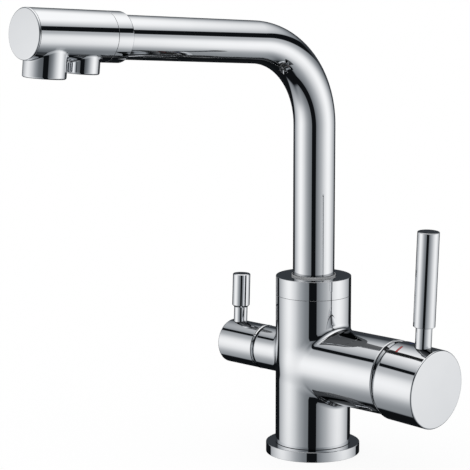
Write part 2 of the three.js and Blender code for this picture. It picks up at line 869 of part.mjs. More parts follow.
function mixerMovingDisc() {
  const disc = rod(movingDiscRadius, movingDiscStart, movingDiscStart + discThickness, X);
  const pocketEnd = movingDiscStart + mixingPocketDepth;
  const mixingPocket = rod(mixingPocketRadius, movingDiscStart - past, pocketEnd, X, coarse);
  return disc.subtract(mixingPocket).translate([0, 0, discOffset]);
}

// The plastic slide that the stem's ball pushes; its two rails run in the rotor's slot.
function mixerDiscCarrier() {
  const carrierEnd = carrierStart + carrierThickness;
  const plate = rod(movingDiscRadius, carrierStart, carrierEnd, X);
  const [across, along] = carrierRails;
  const height = rotorGap + railHeight;
  const block = box(2 * height, across, along).translate([carrierEnd, 0, 0]);
  const slot = box(2 * height, railSpacing, along + 1).translate([carrierEnd + height, 0, 0]);
  const ballHole = rod(ballRadius + socketGap, carrierStart - past, carrierEnd + past, X, coarse);
  return plate.add(block.subtract(slot)).subtract(ballHole).translate([0, 0, discOffset]);
}

function mixerRotor() {
  const rotor = rod(cavityRadius - runGap, rotorStart, rotorStart + rotorThickness, X);
  const [across, along] = rotorSlot;
  const slot = box(2 * rotorThickness, across, along).translate([rotorStart + rotorThickness / 2, 0, 0]);
  const pinHole = rod(pinRadius + seatGap, -cavityRadius - past, cavityRadius + past, Y, drilled).translate([
    pivotPlace,
    0,
    0,
  ]);
  return rotor.subtract(slot).subtract(pinHole);
}

const mixerPivotPin = () =>
  rod(pinRadius, -cavityRadius + pinInset, cavityRadius - pinInset, Y, drilled).translate([pivotPlace, 0, 0]);

function mixerCartridgeHousing() {
  const cavityEnd = rotorStart + rotorThickness + seatGap;
  return turned(
    [
      [cavityRadius, cartridgeStart],
      [cartridgeRadius, cartridgeStart],
      [cartridgeRadius, cartridgeShoulder],
      [cartridgeNeckRadius, cartridgeShoulder],
      [cartridgeNeckRadius, cartridgeShoulder + cartridgeNeckLength],
      [cartridgeMouthRadius, cartridgeShoulder + cartridgeNeckLength],
      [cartridgeMouthRadius, cavityEnd],
      [cavityRadius, cavityEnd],
      [cavityRadius, cartridgeStart],
    ],
    X,
    fine,
  );
}

// The brass ring nut that clamps the cartridge; a hexagon key turns it from the front.
function mixerCartridgeNut() {
  const start = cartridgeShoulder + seatGap;
  const nut = rod(nutThreadRadius, start, start + nutLength, X, fine);
  const bore = rod(cartridgeNeckRadius + seatGap, start - past, start + nutLength + past, X, fine);
  const key = hexSocket(nutKeySize, start + nutLength - nutKeyDepth, start + nutLength + past, X);
  return nut.subtract(bore).subtract(key);
}

// The polished dome ring in the gap behind the handle's cap. Its face is part of a sphere round the pivot,
// so that the cap's rim runs past it at every tilt.
function mixerDomeRing() {
  const back = mixerBranchEnd + seatGap - pivotPlace;
  const innerSphere = domeRadius - domeThickness;
  const skirtInner = domeSkirtRadius - domeSkirtWall;
  const faceStart = THREE.MathUtils.radToDeg(Math.acos(back / domeRadius));
  const innerStart = THREE.MathUtils.radToDeg(Math.asin(skirtInner / innerSphere));
  const skirtBack = mixerBranchEnd - domeSkirtDepth;
  return turned(
    [
      [skirtInner, skirtBack],
      [domeSkirtRadius, skirtBack],
      [domeSkirtRadius, mixerBranchEnd + seatGap],
      ...arc(0, pivotPlace, domeRadius, 90 - faceStart, 90 - domeMouthAngle, 3),
      ...arc(0, pivotPlace, innerSphere, 90 - domeMouthAngle, 90 - innerStart, 1),
      [skirtInner, skirtBack],
    ],
    X,
    finest,
  );
}

// ------------------------------------------------------------- mixer handle, in the tilted frame of its axis

function mixerStem() {
  const stem = turned(
    [
      [0, -stemArm - ballRadius],
      ...arc(0, -stemArm, ballRadius, -90, 40, 6).slice(1),
      [stemArmRadius, -stemArm + ballNeck],
      [stemArmRadius, -stemShoulder],
      [stemRadius, -stemShoulder + stemRadius - stemArmRadius - shoulderRelief],
      [stemRadius, stemReach],
      [0, stemReach],
    ],
    X,
    16,
  );
  return stem.subtract(rod(pinRadius + seatGap, -stemRadius - past, stemRadius + past, Y, drilled));
}

// The hole that takes the lever's neck and stud, and the boss round it.
function leverSeat(place, neckRadius, neckFoot, studRadiusHere, studFoot, reach) {
  return turned(
    [
      [0, studFoot - seatGap],
      [studRadiusHere + seatGap, studFoot - seatGap],
      [studRadiusHere + seatGap, neckFoot - seatGap],
      [neckRadius + seatGap, neckFoot - seatGap],
      [neckRadius + seatGap, reach],
      [0, reach],
    ],
    Z,
    fine,
  ).translate([place, 0, 0]);
}

// A curved tile of the cap's surface, for a mark or its pocket, between two angles from the lever.
function capTile(inner, outer, width, [fromAngle, toAngle]) {
  const from = degrees(90 + fromAngle);
  const to = degrees(90 + toAngle);
  const shape = new THREE.Shape();
  shape.absarc(0, 0, outer, from, to);
  shape.absarc(0, 0, inner, to, from, true);
  const geometry = new THREE.ExtrudeGeometry(shape, {
    depth: width,
    bevelEnabled: false,
    curveSegments: 5,
  });
  geometry.translate(0, 0, -width / 2);
  geometry.rotateX(Math.PI / 2); // stands the arc's plane up, so that its angle runs from X towards Z
  geometry.rotateZ(Math.PI / 2); // and then from Y, at the back, towards Z and on to the front
  geometry.translate(markPlace, 0, 0);
  return toSolid(geometry);
}

function mixerCap() {
  const end = capEnd;
  const roundCentre = [capRadius - capRound, capStart];
  const hollowWall = capRadius - capWall;
  // where the inner edge's rounding meets the spherical hollow
  const centreDistance = Math.hypot(...roundCentre);
  const bisector = Math.acos(
    (hollowRadius ** 2 - centreDistance ** 2 - capRound ** 2) / (2 * centreDistance * capRound),
  );
  const centreAngle = Math.atan2(roundCentre[1], roundCentre[0]);
  const rimAngle = THREE.MathUtils.radToDeg(centreAngle - bisector);
  const rim = arc(...roundCentre, capRound, rimAngle, rimAngle, 1)[0];
  const rimSphere = THREE.MathUtils.radToDeg(Math.atan2(rim[1], rim[0]));
  const wallSphere = THREE.MathUtils.radToDeg(Math.acos(hollowWall / hollowRadius));
  const hubFace = hollowRadius + hubSetback;
  const shell = turned(
    [
      [0, stemReach + seatGap],
      [stemRadius + seatGap, stemReach + seatGap],
      [stemRadius + seatGap, hubFace],
      [hubRadius, hubFace],
      [hubRadius, end - capEndWall],
      [hollowWall, end - capEndWall],
      ...arc(0, 0, hollowRadius, wallSphere, rimSphere, 1),
      ...arc(...roundCentre, capRound, rimAngle, 0, 3).slice(1),
      [capRadius, end - capEdge],
      [capRadius - capEdge, end],
      [0, end],
    ],
    X,
    finest,
  );
  const boss = (radius, place, axis) =>
    rod(radius, hubRadius - bossOverlap, capRadius - past, axis, coarse).translate([place, 0, 0]);
  const screwHole = rod(setScrewRadius + seatGap, stemRadius, capRadius + past, minusZ, coarse).translate([
    setScrewPlace,
    0,
    0,
  ]);
  const seat = leverSeat(
    leverPlace,
    leverNeckRadius,
    leverNeckFoot,
    leverStudRadius,
    leverStudFoot,
    capRadius + past,
  );
  let cap = shell.add(boss(leverBossRadius, leverPlace, Z)).add(boss(screwBossRadius, setScrewPlace, minusZ));
  cap = cap.subtract(seat).subtract(screwHole);
  const pocketFloor = capRadius - markDepth - seatGap;
  const endGap = THREE.MathUtils.radToDeg(seatGap / capRadius);
  for (const [from, to] of [hotMarkArc, coldMarkArc]) {
    const pocketArc = [from - endGap, to + endGap];
    cap = cap.subtract(capTile(pocketFloor, capRadius + past, markWidth + 2 * seatGap, pocketArc));
  }
  return cap;
}

const lever = (place, grip, neck, stud, heights, lowerEdge) => {
  const [studFoot, neckFoot, step, top] = heights;
  return turned(
    [
      [0, studFoot],
      [stud, studFoot],
      [stud, neckFoot],
      [neck, neckFoot],
      [neck, step],
      [grip - lowerEdge, step],
      [grip, step + lowerEdge],
      [grip, top - leverEdge],
      [grip - leverEdge, top],
      [0, top],
    ],
    Z,
    fine,
  ).translate([place, 0, 0]);
};

const mixerLever = () =>
  lever(
    leverPlace,
    leverGripRadius,
    leverNeckRadius,
    leverStudRadius,
    [leverStudFoot, leverNeckFoot, leverStep, leverTop],
    leverEdge,
  );

const mixerSetScrew = () =>
  grubScrew(setScrewRadius, stemRadius + 2 * seatGap, setScrewLength, minusZ).translate([
    setScrewPlace,
    0,
    0,
  ]);

const mark = (markArc) => capTile(capRadius - markDepth, capRadius, markWidth, markArc);

// ------------------------------------------------------------------------------ filter valve and handle

const valveStart = filterSeat + 2 * seatGap + valveSealThickness;
const filterDiscStart = valveStart + seatGap;
const filterMovingStart = filterDiscStart + valveDiscThickness + seatGap;
const spindleStart = filterMovingStart + valveDiscThickness + seatGap;
const valveBoreEnd = valveStart + valveBoreLength;

const filterValveSeal = () =>
  ring(
    valveRadius - valveSealInset - valveSealWall,
    valveRadius - valveSealInset,
    filterSeat + seatGap,
    filterSeat + seatGap + valveSealThickness,
    minusX,
  );

const filterValveBody = () =>
  turned(
    [
      [valveBoreRadius, valveStart],
      [valveRadius, valveStart],
      [valveRadius, filterCapStart - seatGap],
      [valveNeckRadius, filterCapStart - seatGap],
      [valveNeckRadius, valveNeckEnd],
      [spindleRadius + runGap, valveNeckEnd],
      [spindleRadius + runGap, valveBoreEnd],
      [valveBoreRadius, valveBoreEnd],
      [valveBoreRadius, valveStart],
    ],
    minusX,
    fine,
  );

function filterDisc(from, radius, portAngle) {
  const disc = rod(radius, from, from + valveDiscThickness, minusX, fine);
  const angle = degrees(portAngle);
  const offset = [valvePortOffset * Math.sin(angle), valvePortOffset * Math.cos(angle)];
  const port = (sign) =>
    rod(valvePortRadius, from - past, from + valveDiscThickness + past, minusX, drilled).translate([
      0,
      sign * offset[0],
      sign * offset[1],
    ]);
  return disc.subtract(port(1)).subtract(port(-1));
}

const filterFixedDisc = () => filterDisc(filterDiscStart, valveBoreRadius - seatGap, 0);
const filterMovingDisc = () => filterDisc(filterMovingStart, valveBoreRadius - runGap, 90);

const filterSpindle = () =>
  turned(
    [
      [0, spindleStart],
      [valveBoreRadius - runGap, spindleStart],
      [valveBoreRadius - runGap, valveBoreEnd - seatGap],
      [spindleRadius, valveBoreEnd - seatGap],
      [spindleRadius, spindleReach],
      [0, spindleReach],
    ],
    minusX,
    coarse,
  );

const filterTrimRing = () => {
  const outer = filterBranchRadius + trimRingProud;
  const middle = trimRingStart + trimRingLength / 2;
  return turned(
    [
      [valveRadius + seatGap, trimRingStart],
      [outer - trimRingChamfer, trimRingStart],
      [outer, middle],
      [outer - trimRingChamfer, trimRingStart + trimRingLength],
      [valveRadius + seatGap, trimRingStart + trimRingLength],
      [valveRadius + seatGap, trimRingStart],
    ],
    minusX,
    finest,
  );
};

function filterCap() {
  const hollow = filterBranchRadius - filterCapWall;
  const shell = turned(
    [
      [0, spindleReach + seatGap],
      [spindleRadius + seatGap, spindleReach + seatGap],
      [spindleRadius + seatGap, filterCapStart + filterCapHollow],
      [hollow, filterCapStart + filterCapHollow],
      [hollow, filterCapStart],
      [filterBranchRadius - filterCapChamfer, filterCapStart],
      [filterBranchRadius, filterCapStart + filterCapChamfer],
      ...arc(filterBranchRadius - filterCapRound, filterCapEnd - filterCapRound, filterCapRound, 0, 90, 2),
      [0, filterCapEnd],
    ],
    minusX,
    finest,
  );
  const seat = leverSeat(
    -filterLeverPlace,
    filterNeckRadius,
    filterNeckFoot,
    filterStudRadius,
    filterStudFoot,
    filterBranchRadius + past,
  );
  const screwEnd = filterBranchRadius + past;
  const screwHole = rod(filterScrewRadius + seatGap, spindleRadius, screwEnd, minusZ, coarse);
  return shell.subtract(seat).subtract(screwHole.translate([-filterScrewPlace, 0, 0]));
}

const filterLever = () =>
  lever(
    -filterLeverPlace,
    filterGripRadius,
    filterNeckRadius,
    filterStudRadius,
    [filterStudFoot, filterNeckFoot, filterLeverStep, filterLeverTop],
    filterGripChamfer,
  );

const filterSetScrew = () =>
  grubScrew(filterScrewRadius, spindleRadius + 2 * seatGap, filterScrewLength, minusZ).translate([
    -filterScrewPlace,
    0,
    0,
  ]);

// --------------------------------------------------------------------------------------------- assembly

const tap = new THREE.Group();
addPart(tap, "base_flange", baseFlange(), chrome);
addPart(tap, "base_seal", baseSeal(), rubber);
addPart(tap, "tap_body", tapBody(), chrome);
addPart(tap, "collar_nut", collarNut(), chrome);
addPart(tap, "swivel_bush", swivelBush(), greyPlastic);
addPart(tap, "slip_ring", slipRing(), whitePlastic);
addPart(tap, "filter_tube_o_ring", filterTubeORing(), rubber);

const spout = new THREE.Group();
spout.rotation.z = degrees(spoutSwing);
tap.add(spout);
addPart(spout, "spout_foot", spoutFoot(), brass);
addPart(spout, "spout_o_ring_lower", spoutORing(0), rubber);
addPart(spout, "spout_o_ring_upper", spoutORing(1), rubber);
addPart(spout, "spout_tube", spoutTube(), chrome);
addPart(spout, "filter_water_tube", filterWaterTube(), whitePlastic);

const arm = new THREE.Group();
arm.position.z = armCrossing;
arm.rotation.x = -degrees(armRise);
spout.add(arm);
addPart(arm, "head_collar", headCollar(), chrome);
addPart(arm, "spout_head", spoutHead(), chrome);
addPart(arm, "head_end_plug", headEndPlug(), chrome);
addPart(arm, "filter_outlet_core", filterOutletCore(), brass);
addPart(arm, "filter_outlet_seal", outletSeal(filterOutlet, filterInsertHead), rubber);
addPart(arm, "filter_flow_insert", filterFlowInsert(), whitePlastic);
addPart(arm, "main_aerator_seal", outletSeal(mainOutlet, mainInsertHead), rubber);
addPart(arm, "main_aerator_housing", aeratorHousing(), greyPlastic);
addPart(arm, "main_aerator_screen", aeratorScreen(), steel);

const mixer = new THREE.Group();
mixer.position.z = mixerHeight;
tap.add(mixer);
addPart(mixer, "mixer_port_seal", mixerPortSeal(), rubber);
addPart(mixer, "mixer_cartridge_base", mixerCartridgeBase(), whitePlastic);
addPart(mixer, "mixer_fixed_disc", mixerFixedDisc(), ceramic);
addPart(mixer, "mixer_moving_disc", mixerMovingDisc(), ceramic);
addPart(mixer, "mixer_disc_carrier", mixerDiscCarrier(), whitePlastic);
addPart(mixer, "mixer_rotor", mixerRotor(), greyPlastic);
addPart(mixer, "mixer_pivot_pin", mixerPivotPin(), steel);
addPart(mixer, "mixer_cartridge_housing", mixerCartridgeHousing(), whitePlastic);
addPart(mixer, "mixer_cartridge_nut", mixerCartridgeNut(), brass);
addPart(mixer, "mixer_dome_ring", mixerDomeRing(), chrome);

const mixerHandle = new THREE.Group();
mixerHandle.position.x = pivotPlace;
mixerHandle.rotation.y = degrees(handleTilt);
mixer.add(mixerHandle);
addPart(mixerHandle, "mixer_stem", mixerStem(), steel);
addPart(mixerHandle, "mixer_cap", mixerCap(), chrome);
addPart(mixerHandle, "mixer_lever", mixerLever(), chrome);
addPart(mixerHandle, "mixer_set_screw", mixerSetScrew(), steel);
addPart(mixerHandle, "hot_mark", mark(hotMarkArc), redEnamel);
addPart(mixerHandle, "cold_mark", mark(coldMarkArc), blueEnamel);

const filter = new THREE.Group();
filter.position.z = filterHeight;
tap.add(filter);
addPart(filter, "filter_valve_seal", filterValveSeal(), rubber);
addPart(filter, "filter_valve_body", filterValveBody(), brass);
addPart(filter, "filter_fixed_disc", filterFixedDisc(), ceramic);
addPart(filter, "filter_trim_ring", filterTrimRing(), chrome);

const filterHandle = new THREE.Group();
filterHandle.rotation.x = -degrees(filterLean);
filter.add(filterHandle);
addPart(filterHandle, "filter_moving_disc", filterMovingDisc(), ceramic);
addPart(filterHandle, "filter_spindle", filterSpindle(), brass);
addPart(filterHandle, "filter_cap", filterCap(), chrome);
addPart(filterHandle, "filter_lever", filterLever(), chrome);
addPart(filterHandle, "filter_set_screw", filterSetScrew(), steel);

export default tap;
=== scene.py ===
# %% [markdown]
# # A kitchen tap for three waters
# The CAD model of the tap is loaded first and stays fixed: it gives the sizes and the joints. Each polished
# piece that shows is then made again with a smooth skin, because chrome mirrors every facet. The pieces
# inside the tap keep their CAD shapes and only get a finish. Sizes below are in millimetres and become
# metres when a mesh is made.

# %% Load the fixed frame
import json
import math

import bmesh
import bpy
from mathutils import Matrix, Vector


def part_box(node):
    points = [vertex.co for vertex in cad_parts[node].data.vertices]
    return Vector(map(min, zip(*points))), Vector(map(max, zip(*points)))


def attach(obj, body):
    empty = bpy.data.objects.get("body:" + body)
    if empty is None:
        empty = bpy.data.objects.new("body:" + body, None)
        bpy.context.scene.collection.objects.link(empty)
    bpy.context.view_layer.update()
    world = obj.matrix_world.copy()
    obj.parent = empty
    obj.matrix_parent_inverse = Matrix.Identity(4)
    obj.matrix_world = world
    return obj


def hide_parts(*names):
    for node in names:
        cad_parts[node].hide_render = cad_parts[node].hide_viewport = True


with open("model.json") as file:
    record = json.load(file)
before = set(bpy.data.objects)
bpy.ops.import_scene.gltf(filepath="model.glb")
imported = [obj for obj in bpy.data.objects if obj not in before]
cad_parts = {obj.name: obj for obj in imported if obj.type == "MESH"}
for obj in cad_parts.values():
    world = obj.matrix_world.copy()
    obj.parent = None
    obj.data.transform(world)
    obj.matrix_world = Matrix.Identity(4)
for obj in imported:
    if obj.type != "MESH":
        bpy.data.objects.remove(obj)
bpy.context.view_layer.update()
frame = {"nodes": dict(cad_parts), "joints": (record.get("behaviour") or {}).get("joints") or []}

print("CAD nodes:", len(frame["nodes"]))

# %% [markdown]
# ## Sizes from the CAD model
# Where a size can be measured on the fixed model it is read from there, so that both models stay alike. Two
# helpers do that: one tells where a CAD node ends, the other where a joint turns.

# %% Measuring helpers
MM = 0.001


def cad_end(node, axis, side=1):
    """Where a CAD node ends along an axis, in millimetres; side 0 is its lowest place, side 1 its highest."""
    return round(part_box(node)[side]["xyz".index(axis)] / MM, 2)


def joint_place(name):
    """The point that a joint turns about, in millimetres."""
    joint = next(joint for joint in frame["joints"] if joint["name"] == name)
    return [round(value / MM, 2) for value in joint["pos_m"]]


print("the collar nut ends", cad_end("collar_nut", "z"), "mm above the worktop")

# %% [markdown]
# ## The camera
# The photograph was taken from about 1.75 m with a long lens, which keeps upright edges almost parallel. The
# place and the turn were found by fitting the outlines of the tap. The three directions below are the
# camera's own right, up and backward.

# %% Camera
camera = bpy.data.objects.new("camera", bpy.data.cameras.new("camera"))
bpy.context.scene.collection.objects.link(camera)
bpy.context.scene.camera = camera
camera.data.sensor_width = 36
camera.data.lens = 195
camera.data.clip_start, camera.data.clip_end = 0.05, 200
to_right = Vector((0.727549, 0.686055, 0.0))
to_top = Vector((-0.123484, 0.130953, 0.983668))
backward = Vector((0.674851, -0.715667, 0.179991))
turn = Matrix((to_right, to_top, backward)).transposed().to_4x4()
camera.matrix_world = Matrix.Translation((1.115792, -1.260473, 0.457310)) @ turn
bpy.context.scene.view_settings.view_transform = "Standard"
print("camera", round(camera.location.length, 3), "m from the tap's foot")

# %% [markdown]
# ## Node tools
# Every finish below is a Principled BSDF with a few texture nodes. Three small helpers keep the cells
# short: one adds a node with its settings, one starts a node group with named inputs and outputs, and one
# adds a colour ramp.


# %% Node helpers
def add_node(tree, kind, inputs=(), **settings):
    """A new node of that kind. inputs maps a socket's name or number to a value or to another socket."""
    node = tree.nodes.new("ShaderNode" + kind)
    for key, value in settings.items():
        setattr(node, key, value)
    for key, value in dict(inputs).items():
        if isinstance(value, bpy.types.NodeSocket):
            tree.links.new(value, node.inputs[key])
        else:
            node.inputs[key].default_value = value
    return node


def start_group(name, inputs, outputs):
    """A node group whose sockets hold numbers, or a vector in the one named Vector."""
    tree = bpy.data.node_groups.new(name, "ShaderNodeTree")
    for names, way in ((inputs, "INPUT"), (outputs, "OUTPUT")):
        for socket in names:
            kind = "Vector" if socket == "Vector" else "Float"
            tree.interface.new_socket(socket, in_out=way, socket_type="NodeSocket" + kind)
    return tree, tree.nodes.new("NodeGroupInput").outputs, tree.nodes.new("NodeGroupOutput").inputs


def ramp(tree, value, stops):
    """A colour ramp from (place, grey or colour) stops."""
    node = add_node(tree, "ValToRGB", {"Fac": value})
    while len(node.color_ramp.elements) < len(stops):
        node.color_ramp.elements.new(0.5)
    for element, (place, shade) in zip(node.color_ramp.elements, stops):
        element.position = place
        element.color = (*shade, 1) if isinstance(shade, tuple) else (shade, shade, shade, 1)
    return node.outputs["Color"]


print("node helpers ready")

# %% [markdown]
# ## What a polished or moulded surface shows up close
# No real surface is even. Hand polishing leaves a faint slow waviness and hair-fine lines, and use leaves
# dull patches. Moulded plastic and rubber have a fine grain. One group makes all of this from noise: it
# gives a mask for dull patches, a fine grain for roughness, and a height for a Bump node. Every finish
# uses it at its own scale.

# %% Surface group
surface, have, give = start_group(
    "fine_surface", ["Vector", "Patch Scale", "Grain Scale", "Grain Share"], ["Patches", "Grain", "Height"]
)
patches = add_node(
    surface, "TexNoise",
    {"Vector": have["Vector"], "Scale": have["Patch Scale"], "Detail": 3.0, "Roughness": 0.6},
)
patch_mask = add_node(
    surface, "MapRange", {"Value": patches.outputs[0], "From Min": 0.42, "From Max": 0.72},
    interpolation_type="SMOOTHSTEP",
)
grain = add_node(
    surface, "TexNoise",
    {"Vector": have["Vector"], "Scale": have["Grain Scale"], "Detail": 4.0, "Roughness": 0.65},
)
grain_part = add_node(surface, "Math", {0: grain.outputs[0], 1: have["Grain Share"]}, operation="MULTIPLY")
height = add_node(surface, "Math", {0: grain_part.outputs[0], 1: patches.outputs[0]}, operation="ADD")
for socket, source in (("Patches", patch_mask), ("Grain", grain), ("Height", height)):
    surface.links.new(source.outputs[0], give[socket])
print("group", surface.name, "has", len(surface.nodes), "nodes")

# %% [markdown]
# ## Finishes
# A finish is chosen by its record slot. Chrome is a mirror with a cool tint, so it takes nearly all of its
# look from the studio. The other metals are rougher, and the plastics, rubber and ceramic aren't metals.
# A finish function sets the plain numbers on the shader's own sockets, and the group above drives what
# changes over the surface: the colour between two near tones, the roughness and the bump.


# %% Finish maker
RELIEF = 0.0001  # metres from the deepest to the highest grain


def finish(name, low, high, rough, patch, grain, share, bump, metal=0.0, **plain):
    """A material whose colour runs from low to high and whose roughness runs over the pair rough.

    patch and grain are the scales of the dull patches and of the grain, share says how much the grain
    counts, and plain holds more values for the shader's own sockets.
    """
    material = bpy.data.materials.new(name)
    material.use_nodes = True
    tree = material.node_tree
    shader = tree.nodes["Principled BSDF"]
    place = add_node(tree, "TexCoord").outputs["Object"]
    scales = {"Vector": place, "Patch Scale": patch, "Grain Scale": grain, "Grain Share": share}
    fine = add_node(tree, "Group", scales, node_tree=surface)
    tone = add_node(tree, "Mix", {"Factor": fine.outputs["Patches"]}, data_type="RGBA")
    tone.inputs[6].default_value = (*low, 1)
    tone.inputs[7].default_value = (*high, 1)
    mixed = add_node(
        tree, "Math", {0: fine.outputs["Grain"], 1: share, 2: fine.outputs["Patches"]},
        operation="MULTIPLY_ADD",
    )
    span = {"Value": mixed.outputs[0], "From Max": 1 + share, "To Min": rough[0], "To Max": rough[1]}
    dull = add_node(tree, "MapRange", span)
    relief = add_node(tree, "Bump", {"Strength": bump, "Distance": RELIEF, "Height": fine.outputs["Height"]})
    tree.links.new(tone.outputs[2], shader.inputs["Base Color"])
    tree.links.new(dull.outputs[0], shader.inputs["Roughness"])
    tree.links.new(relief.outputs[0], shader.inputs["Normal"])
    shader.inputs["Metallic"].default_value = metal
    for socket, value in plain.items():
        shader.inputs[socket.replace("_", " ")].default_value = value
    return material


finishes = {
    "chrome_trim": finish(
        "polished_chrome", (0.905, 0.917, 0.935), (0.89, 0.903, 0.922), (0.012, 0.035), metal=1.0,
        patch=45, grain=1400, share=0.08, bump=0.02,
    ),
    "raw_brass": finish(
        "turned_brass", (0.72, 0.52, 0.25), (0.62, 0.42, 0.18), (0.24, 0.42), metal=1.0,
        patch=90, grain=1800, share=0.5, bump=0.15,
    ),
    "stainless_steel": finish(
        "stainless_steel", (0.62, 0.62, 0.61), (0.54, 0.545, 0.55), (0.18, 0.34), metal=1.0,
        patch=120, grain=2400, share=0.5, bump=0.12,
    ),
    "seal_rubber": finish(
        "seal_rubber", (0.012, 0.012, 0.013), (0.03, 0.03, 0.031), (0.55, 0.8),
        patch=150, grain=3000, share=0.8, bump=0.25,
    ),
    "white_plastic": finish(
        "white_plastic", (0.83, 0.83, 0.81), (0.76, 0.76, 0.74), (0.3, 0.5),
        patch=80, grain=2600, share=0.6, bump=0.12,
    ),
    "grey_plastic": finish(
        "grey_plastic", (0.42, 0.43, 0.44), (0.35, 0.36, 0.37), (0.3, 0.5),
        patch=80, grain=2600, share=0.6, bump=0.12,
    ),
    "valve_ceramic": finish(
        "valve_ceramic", (0.86, 0.84, 0.80), (0.80, 0.78, 0.74), (0.06, 0.16),
        patch=140, grain=3000, share=0.4, bump=0.04,
    ),
    "red_enamel": finish(
        "red_enamel", (0.46, 0.03, 0.03), (0.36, 0.02, 0.02), (0.15, 0.3),
        patch=300, grain=3000, share=0.4, bump=0.1, Coat_Weight=0.5,
    ),
    "blue_enamel": finish(
        "blue_enamel", (0.015, 0.04, 0.26), (0.01, 0.03, 0.2), (0.15, 0.3),
        patch=300, grain=3000, share=0.4, bump=0.1, Coat_Weight=0.5,
    ),
}
print("finishes:", ", ".join(finishes))

# %% [markdown]
# ## Finishes for the CAD pieces
# The seals, discs, valves and screws inside the tap keep their CAD meshes. Each comes with a plain material
# named after its slot, and gets the finish of that name instead.

# %% Give every CAD node its finish
for name, node in frame["nodes"].items():
    slot = node.data.materials[0].name.split(".")[0]
    node.data.materials.clear()
    node.data.materials.append(finishes[slot])
print("finished", len(frame["nodes"]), "CAD nodes")

# %% [markdown]
# ## How a piece is finished
# Each new mesh gets its finish, rides on the CAD body that carries it, and hides the CAD nodes it stands
# for. Its faces are smooth-shaded, with sharp edges kept where the angle is more than 30 degrees. The
# Weighted Normal modifier lets the large faces decide the shading, so that a flat face beside a small
# rounded edge stays flat in its reflections.


# %% Piece helper
SHARP_FROM = math.radians(30)


def make_piece(name, bm, body, slot, *nodes, weigh=True):
    """The finished object of a bmesh: its name, carrying body, finish slot and the CAD nodes it replaces."""
    mesh = bpy.data.meshes.new(name)
    bm.to_mesh(mesh)
    bm.free()
    mesh.shade_smooth()
    mesh.set_sharp_from_angle(angle=SHARP_FROM)
    mesh.materials.append(finishes[slot])
    made = bpy.data.objects.new(name, mesh)
    bpy.context.scene.collection.objects.link(made)
    if weigh:
        even = made.modifiers.new("even_shading", "WEIGHTED_NORMAL")
        even.keep_sharp = True
    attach(made, body)
    if nodes:
        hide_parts(*nodes)
    print(f"{name}: {len(mesh.polygons)} faces on {body}")
    return made


# %% [markdown]
# ## Turned pieces
# Most of the tap is turned on a lathe: flange, nut, collar, caps and levers. The same way works here. A
# wire of corner points, each a radius and a distance along the axis, is spun once round. Then the rings
# that are outer edges get a small bevel, as the polisher leaves it, because a real edge is never sharp and
# its thin highlight draws the shape.

# %% Lathe
ROUND_STEPS = 128


def turned(profile, edges=(), steps=ROUND_STEPS, segments=4):
    """Spins a profile of (radius, along) corners round Z. edges lists (corner number, bevel width)."""
    bm = bmesh.new()
    corners = [bm.verts.new((radius * MM, 0, along * MM)) for radius, along in profile]
    for pair in zip(corners, corners[1:]):
        bm.edges.new(pair)
    if profile[0][0] > 0:
        bm.edges.new((corners[-1], corners[0]))
    bmesh.ops.spin(
        bm, geom=bm.verts[:] + bm.edges[:], cent=(0, 0, 0), axis=(0, 0, 1), angle=math.tau, steps=steps,
        use_merge=True,
    )
    bmesh.ops.remove_doubles(bm, verts=bm.verts, dist=1e-7)
    bmesh.ops.recalc_face_normals(bm, faces=bm.faces)
    for number, width in edges:
        radius, along = profile[number]
        ring = [e for e in bm.edges if all(on_ring(v, radius, along) for v in e.verts)]
        bmesh.ops.bevel(
            bm, geom=ring, offset=width * MM, segments=segments, profile=0.5, affect="EDGES", material=-1
        )
    return bm


def on_ring(vert, radius, along):
    """Whether a vertex lies on the ring that a profile's corner has made."""
    away = math.hypot(vert.co.x, vert.co.y)
    return abs(vert.co.z - along * MM) < 1e-6 and abs(away - radius * MM) < 1e-6


def arc(centre_radius, centre_along, size, start, end, count):
    """Points of an arc in a profile; 0 degrees points outward and 90 degrees along the axis."""
    angles = [math.radians(start + (end - start) * i / count) for i in range(count + 1)]
    return [(centre_radius + size * math.cos(a), centre_along + size * math.sin(a)) for a in angles]


def joined(moves):
    """All moves as one; the last is the outermost."""
    whole = Matrix.Identity(4)
    for move in moves:
        whole = move @ whole
    return whole


def set_in(bm, *moves):
    """Moves a bmesh from the lathe into the tap."""
    bmesh.ops.transform(bm, matrix=joined(moves), verts=bm.verts)
    return bm


print("lathe ready,", ROUND_STEPS, "steps a turn")


# %% Moves
def shift(x, y, z):
    """A move by millimetres."""
    return Matrix.Translation((x * MM, y * MM, z * MM))


def rotate(degrees, axis):
    """A turn about an axis through the origin."""
    return Matrix.Rotation(math.radians(degrees), 4, axis)


TO_RIGHT = rotate(90, "Y")
TO_LEFT = rotate(-90, "Y")
DOWN = rotate(180, "X")
print("moves ready")

# %% [markdown]
# ## Base flange
# The flange is a turned disc that hides the hole in the worktop. Its underside has a groove for the
# rubber seal. A small gap parts it from the body's foot, as it parts all pieces that touch.

# %% Flange
SEAT_GAP = 0.3
FOOT = 22.0
FLANGE = cad_end("base_flange", "x")
FLANGE_TOP = cad_end("base_flange", "z")
FLANGE_BORE = FOOT + SEAT_GAP
GROOVE_IN, GROOVE_OUT, GROOVE_DEPTH = 25.9, 29.5, 2.1
flange = turned(
    [
        (FLANGE_BORE, 0), (GROOVE_IN, 0), (GROOVE_IN, GROOVE_DEPTH), (GROOVE_OUT, GROOVE_DEPTH),
        (GROOVE_OUT, 0), (FLANGE, 0), (FLANGE, FLANGE_TOP), (FLANGE_BORE, FLANGE_TOP),
    ],
    edges=[(6, 0.5), (5, 0.25)],
)
make_piece("polished_flange", flange, "tap_base", "chrome_trim", "base_flange")

